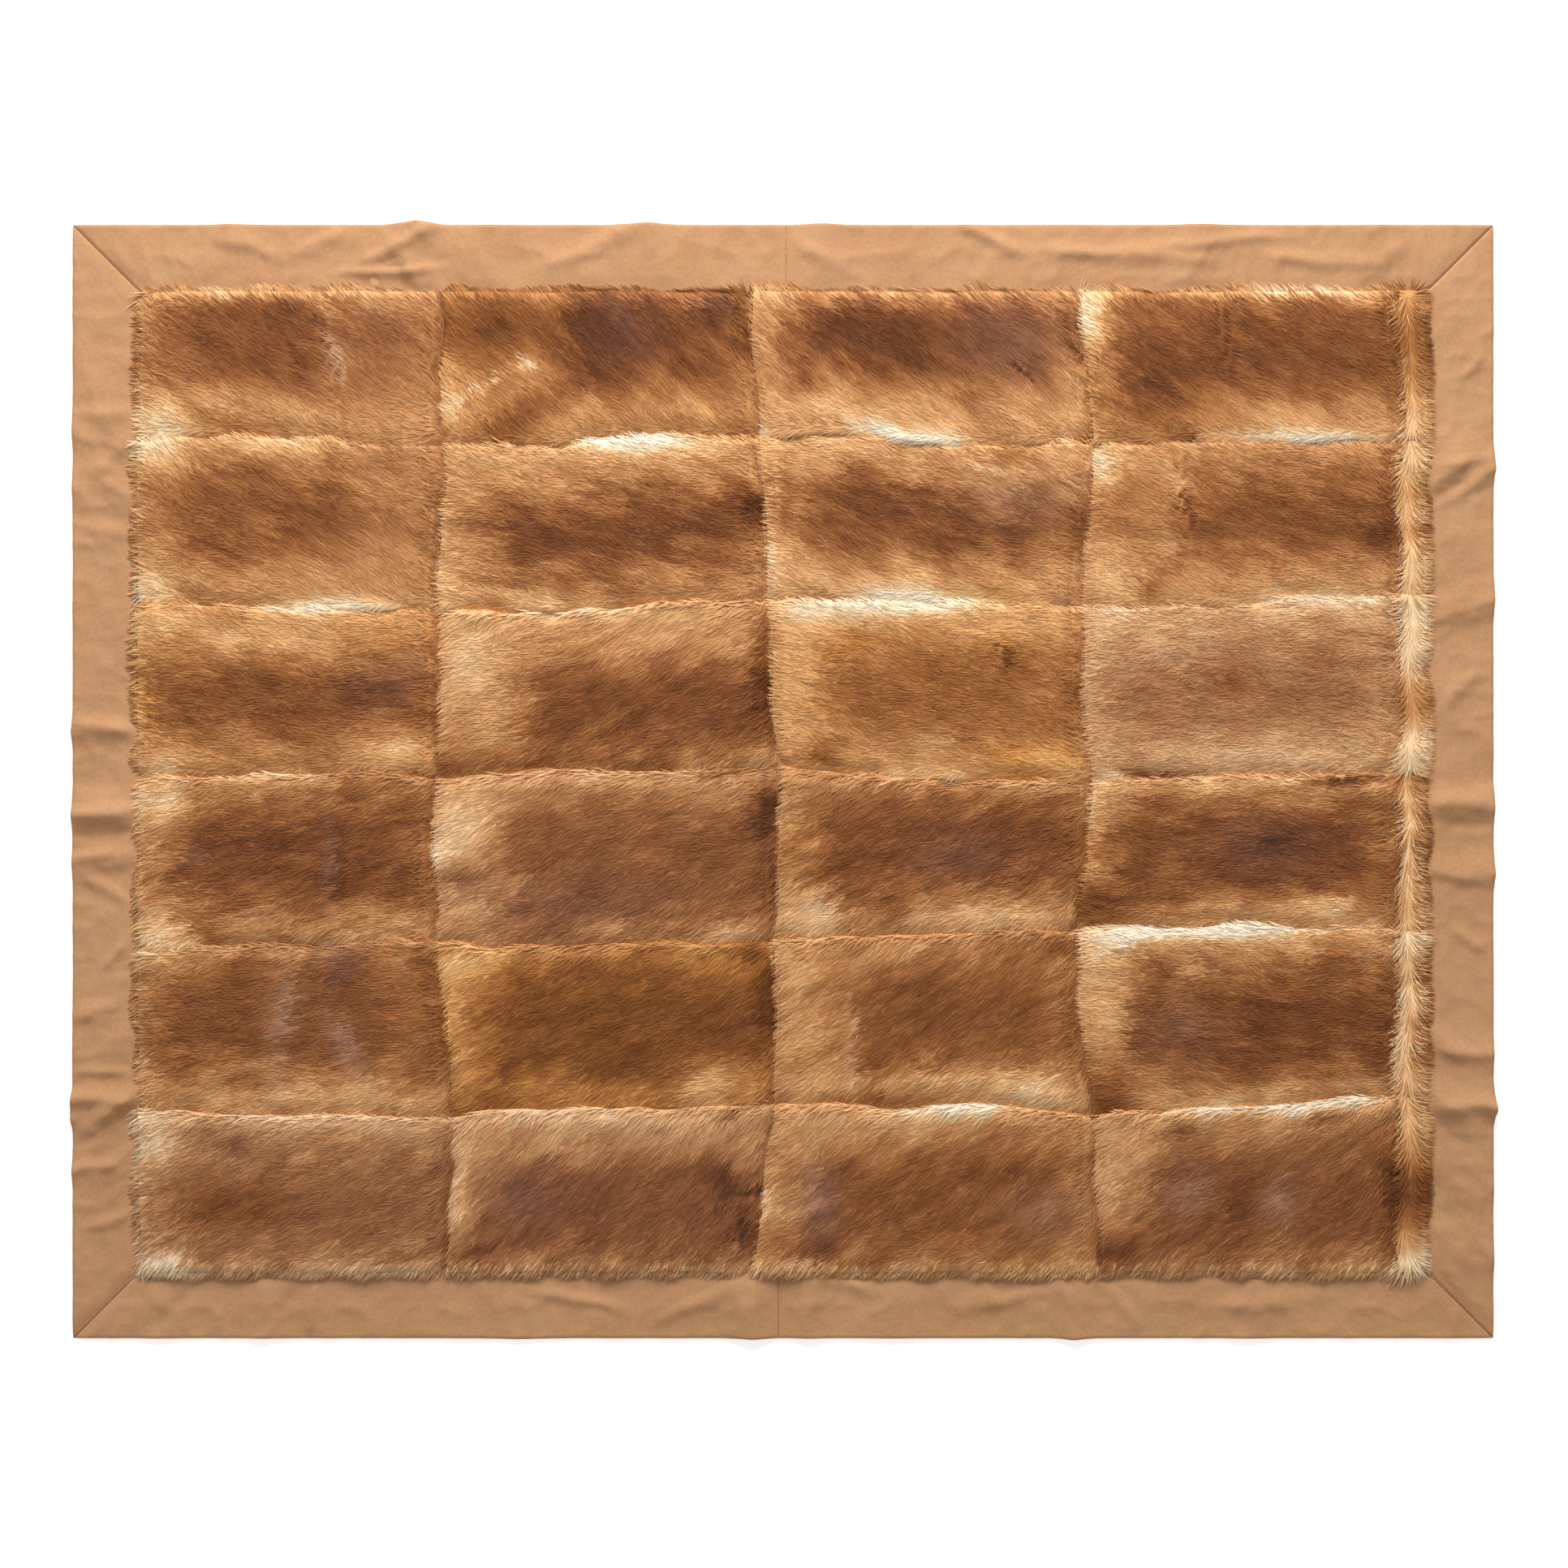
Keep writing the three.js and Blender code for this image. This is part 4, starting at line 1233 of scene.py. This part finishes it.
CREASES = """
   x    y long wide turn high
-853  460   35    9    0    2
-853  405   28    7   45  2.4
-860  317   30   10    0    2
-860   68   44    8   -5    4
-860  -45   44   12    0  4.5
-875  -93   26    6    5  3.2
-857 -137   40    8  -38  2.4
-845 -222   22    6   50  2.6
-870 -290   28    9   10  2.6
-860 -368   40    6    0  2.2
-862 -404   60    9    0  4.2
-870 -491   26    6    4  2.8
-850 -553   28    7   20  2.2
 874  529   20    6   45    2
 869  369   30    7   31  1.8
 862  402   40    7   10    2
 859  116   35   10   35    2
 862  -25   40    9    4  3.4
 869 -203   25    8  -30  2.2
 862 -345   40    7   -4  2.2
 862 -414   60    9    0  3.8
-677  678   50   10  -15    2
-590  683   35    8   25  2.2
-487  683   60    9   28  3.2
-500  645   65    6    5    3
-244  675   70   12   22  2.4
  29  678   60   10  -28    2
 261  686   50    8  -22  2.8
 426  668  110    9   -4  2.8
 550  683   90    8    5  2.2
 683  658   70    8   -5  2.4
-595 -667   35    8   85  2.8
-260 -657   60    7  -12  2.4
-115 -667   50    9   20  2.4
  70 -636   45    9  -20  3.2
 281 -657   60   10   12    2
 431 -667   35    8  -60  2.2
 611 -662   60   10    8  1.8
"""
CREASE_CHART = chart(CREASES)


def crease_height(x, y):
    """Height that the folds of the table add at each place."""
    far, length, seed = CREASE_BEND
    bend = far * unevenness(x, y, length, seed)
    height = 0 * x
    for fold in CREASE_CHART:
        along, across = turned(x - fold["x"], y - fold["y"], fold["turn"])
        ridge = np.exp(-(((across + bend) / fold["wide"]) ** 2))
        height = height + fold["high"] * ridge * (1 - ease(np.abs(along / fold["long"]) - CREASE_END))
    return height


print("Folds charted:", len(CREASE_CHART))

# %% [markdown]
# Each length of the border is a strip of cloth folded at its outer edge. Its CAD node already has
# the true outline and the main ripples, as rows of points along the strip. Those rows are read
# back, drawn finely with the ripples smoothed, and given the folds, small wrinkles, and the dip
# that a hand-sewn seam pulls into the cloth.

# %% Border cloth
BORDERS = {  # the way out of the throw, the way along, and how far the seam at each end pulls, in mm
    "border_left": ((-1, 0), (0, 1), (5.5, 2.8)),
    "border_right": ((1, 0), (0, 1), (2.2, 2.2)),
    "border_top_left": ((0, 1), (1, 0), (2.8, 1.2)),
    "border_top_right": ((0, 1), (1, 0), (1.2, 2.2)),
    "border_bottom_left": ((0, -1), (1, 0), (5.5, 1.2)),
    "border_bottom_right": ((0, -1), (1, 0), (1.2, 2.2)),
}
MITRE_REACH = 2  # a seam that pulls farther than this is a mitre
SEAM_DIP = 1.7
CLOTH, FOLD_OUT, UNDER_SAG = 2.6, 1.1, 0.85  # thickness, roundness of the fold, rise of the back
ROW_EDGES = (9, 31, 66)  # distances from the inner edge that part the CAD's four rows
ONE_STATION = 0.3  # points of a row that are nearer than this are one
STATION_MM, ACROSS_STEPS = 4, 23
SEAM_STATIONS, NEAREST = (0, 1.2, 2.6, 4.4, 7), 0.5  # finer steps at a seam, and the least step
WRINKLES = ((2.1, 46, 1.0, 33), (1.6, 24, 0.7, 32), (0.8, 11, 0.8, 34))  # height, size, stretch, seed
RIPPLE_GAIN, RIPPLE_BLUR, RIPPLE_SAG = 1.6, 3, 0.6
RIPPLE_FADE = (0.25, 0.8)  # what is left of a ripple at the fur and a little before it
FUR_CALM = (0.33, 8, 20)  # what is left of folds at the fur, where they start to grow, over what
SEAM_CALM, SEAM_STRAIGHT = 22, 30  # how far from a seam folds grow, and the edge runs straight


def cloth_rows(node, outward, along):
    """The CAD's points of one length: (row from the inner edge, place along, out and up)."""
    place = np.array([v.co for v in frame["nodes"][node].data.vertices]) / MM
    flat = np.column_stack([place[:, :2] @ along, place[:, :2] @ outward, place[:, 2]])
    edges = flat[:, 1].min() + np.array([-1, *ROW_EDGES, 1000])
    rows = []
    for low, high in zip(edges, edges[1:]):
        row = flat[(flat[:, 1] > low) & (flat[:, 1] <= high)]
        row = row[np.lexsort((row[:, 2], np.round(row[:, 0], 2)))]
        rows.append(row[np.append(True, np.diff(np.round(row[:, 0], 2)) > ONE_STATION)])
    return rows


def smoothed(values, stations, reach):
    """Values along a line, blurred over `reach` millimetres."""
    steps = np.subtract.outer(stations, stations)
    weight = np.exp(-((steps / reach) ** 2)) * np.gradient(stations)[None, :]
    return (weight @ values) / weight.sum(1)


def cloth_mesh(node, outward, along, pulls):
    """One length of the border, as a closed strip with a rounded outer fold, and its two end lines."""
    outward, along = np.array(outward, float), np.array(along, float)
    rows = cloth_rows(node, outward, along)
    length = rows[0][-1, 0] - rows[0][0, 0]
    stations = np.linspace(0, length, round(length / STATION_MM) + 1)
    ends = np.array(SEAM_STATIONS)
    stations = np.unique(np.concatenate([stations[2:-2], ends, length - ends]))
    stations = stations[np.append(True, np.diff(stations) > NEAREST)]
    own = (rows[0][:, 0] - rows[0][0, 0]) / length
    lines = []
    for row in rows:
        s, out, up = (np.interp(stations / length, own, row[:, k]) for k in range(3))
        out, up = (smoothed(values, stations, RIPPLE_BLUR) for values in (out, up))
        lines.append(np.stack([s, out, RIPPLE_GAIN * up], 1))
    lines = np.array(lines)
    for k, left_over in enumerate(RIPPLE_FADE):
        lines[k, :, 2] = left_over * lines[2, :, 2]
    grid = np.empty((ACROSS_STEPS, len(stations), 3))
    own_out = np.median(lines[:, :, 1], axis=1)
    for k, out in enumerate(np.linspace(own_out[0], own_out[-1], ACROSS_STEPS)):
        at = np.interp(out, own_out, np.arange(len(lines)))
        low = min(int(at), len(lines) - 2)
        grid[k] = lines[low] + (lines[low + 1] - lines[low]) * (at - low)
    s, out, up = grid[..., 0], grid[..., 1], grid[..., 2]

    from_seam = np.minimum(stations, length - stations)[None, :]
    least, start, over = FUR_CALM
    fade = least + (1 - least) * ease((out - own_out[0] - start) / over)
    fade = fade * ease(from_seam / SEAM_CALM)
    if along[1]:
        s = s - RIPPLE_SAG * up * ease(from_seam / SEAM_STRAIGHT)
    flat = s[..., None] * along + out[..., None] * outward
    up = up + fade * CREASE_GAIN * crease_height(flat[..., 0], flat[..., 1])
    for height, size, stretch, seed in WRINKLES:
        ridge = 1 - np.abs(unevenness(s, out * stretch, size, seed + len(node)))
        up = up + fade * height * ridge**3
    pull = np.where(stations < length / 2, *pulls)
    dip = SEAM_DIP * np.minimum(1, pull / MITRE_REACH) * np.exp(-((from_seam / pull) ** 2))

    top = np.concatenate([flat, (up + CLOTH - dip)[..., None]], 2)
    under = [0, ACROSS_STEPS // 3, 2 * ACROSS_STEPS // 3, ACROSS_STEPS - 1]
    below = top[under].copy()
    below[..., 2] = np.maximum(up[under] * UNDER_SAG, 0)
    fold = top[-1:].copy()
    fold[..., :2] += FOLD_OUT * outward
    fold[..., 2] = (top[-1:, :, 2] + below[-1:, :, 2]) / 2
    loop = np.concatenate([below, fold, top[::-1]], 0)
    count, steps = loop.shape[:2]
    faces = []
    for k in range(count):
        here, after = k * steps, (k + 1) % count * steps
        faces += [[here + n, after + n, after + n + 1, here + n + 1] for n in range(steps - 1)]
    faces.append([k * steps for k in range(count)][::-1])
    faces.append([k * steps + steps - 1 for k in range(count)])
    if along[0] * outward[1] - along[1] * outward[0] > 0:
        faces = [face[::-1] for face in faces]
    mesh = bpy.data.meshes.new(node + "_cloth")
    mesh.from_pydata((loop.reshape(-1, 3) * MM).tolist(), [], faces)
    mesh.shade_smooth()
    return mesh, (top[:, 0] * MM, top[:, -1] * MM)


clothes, seam_lines = {}, {}
for node, (outward, along, pulls) in BORDERS.items():
    mesh, seam_lines[node] = cloth_mesh(node, outward, along, pulls)
    mesh.materials.append(wool)
    clothes[node] = new_object(node + "_cloth", mesh)
faces = sum(len(cloth.data.polygons) for cloth in clothes.values())
print("Lengths of cloth:", len(clothes), "with", faces, "faces")

# %% [markdown]
# Each mitre is closed by hand with small slip stitches in a dark thread, and the two middle seams in
# a thread of the cloth's own colour. A line is drawn along the seam. Geometry Nodes lay the thread
# along it and set a stitch every few millimetres, a little slanted and not quite even, as a hand
# does. A stitch is a small sphere drawn out along the seam.

# %% Slip stitches of the border
STITCH = {"pitch": 6.5, "long": 3.6, "thick": 0.8, "slant": 0.3, "cord": 0.45}
FLAT_STITCH = 0.6  # a middle seam's stitches are this much thinner
SLANTS = (0.2, 1.8)  # how much the slant varies
THREAD = {"Base Color": colour("#6E4426"), "Roughness": 0.8}


def stitching_tree():
    """Sets slip stitches along a line."""
    takes = {"Seam": "Geometry", "Pitch": "Float", "Long": "Float", "Thick": "Float"}
    takes |= {"Slant": "Float", "Cord": "Float", "Seed": "Int", "Thread": "Material"}
    tree, given = new_tree("Slip stitches", takes, "Stitches")
    line = add_node(tree, "GeometryNodeMeshToCurve", {"Mesh": given["Seam"]})
    points = {"Curve": line, "Length": given["Pitch"]}
    points = add_node(tree, "GeometryNodeCurveToPoints", points, mode="LENGTH")
    run = {"Vector": points.outputs["Tangent"]}
    run = add_node(tree, "FunctionNodeAlignRotationToVector", run, axis="X")
    askew = {2: SLANTS[0], 3: SLANTS[1], "Seed": given["Seed"]}
    askew = add_node(tree, "FunctionNodeRandomValue", askew).outputs[1]
    slant = add_node(tree, MATHS, {0: askew, 1: given["Slant"]}, operation="MULTIPLY")
    slant = add_node(tree, "ShaderNodeCombineXYZ", {"Z": slant})
    slant = add_node(tree, "FunctionNodeEulerToRotation", {"Euler": slant})
    run = {"Rotation": run, "Rotate By": slant}
    run = add_node(tree, "FunctionNodeRotateRotation", run, rotation_space="LOCAL")
    size = {"X": given["Long"], "Y": given["Thick"], "Z": given["Thick"]}
    bead = add_node(tree, "GeometryNodeMeshIcoSphere", {"Radius": 0.5, "Subdivisions": 2})
    stitches = {"Points": points, "Instance": bead, "Rotation": run}
    stitches["Scale"] = add_node(tree, "ShaderNodeCombineXYZ", size)
    stitches = add_node(tree, "GeometryNodeInstanceOnPoints", stitches)
    ring = {"Resolution": 6, "Radius": given["Cord"]}
    ring = add_node(tree, "GeometryNodeCurvePrimitiveCircle", ring)
    cord = {"Curve": line, "Profile Curve": ring, "Fill Caps": True}
    cord = add_node(tree, "GeometryNodeCurveToMesh", cord)
    return end_tree(tree, (stitches, cord), given["Thread"], "Stitches")


thread = new_material("Brown sewing thread", THREAD)
stitching = stitching_tree()
stitched = {}
for node, (_, along, pulls) in BORDERS.items():
    for end, pull in enumerate(pulls):
        mitre = pull > MITRE_REACH
        if mitre and not along[0] or not mitre and node.endswith("_right"):
            continue
        name = node + ("_mitre" if mitre else "_middle_seam")
        line = bpy.data.meshes.new(name)
        seam = seam_lines[node][end]
        line.from_pydata(seam.tolist(), [(k, k + 1) for k in range(len(seam) - 1)], [])
        host = new_object(name, line)
        given = {
            "Pitch": STITCH["pitch"] * MM,
            "Long": STITCH["long"] * MM,
            "Thick": STITCH["thick"] * (1 if mitre else FLAT_STITCH) * MM,
            "Slant": STITCH["slant"],
            "Cord": STITCH["cord"] * MM,
            "Seed": len(stitched),
            "Thread": thread if mitre else wool,
        }
        stitched.setdefault(node, []).append(run_tree(host, stitching, name + "_stitches", given))
        bpy.data.objects.remove(host)
print("Seams stitched:", sum(len(sewn) for sewn in stitched.values()))

# %% [markdown]
# Each length of cloth takes the place of its CAD node, with the stitches that close it. It lies on
# the floor.

# %% Place of the border
for node, cloth in clothes.items():
    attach(cloth, "root")
    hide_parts(node)
    sewn = stitched.get(node, [])
    for piece in sewn:
        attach(piece, "root")
        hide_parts(node)
print("Sheets of cloth placed:", len(clothes))

# %% [markdown]
# The tuft shapes have done their work and go.

# %% Clearing away the tuft shapes
for shape in list(tuft_shapes.objects):
    bpy.data.objects.remove(shape)
bpy.data.collections.remove(tuft_shapes)
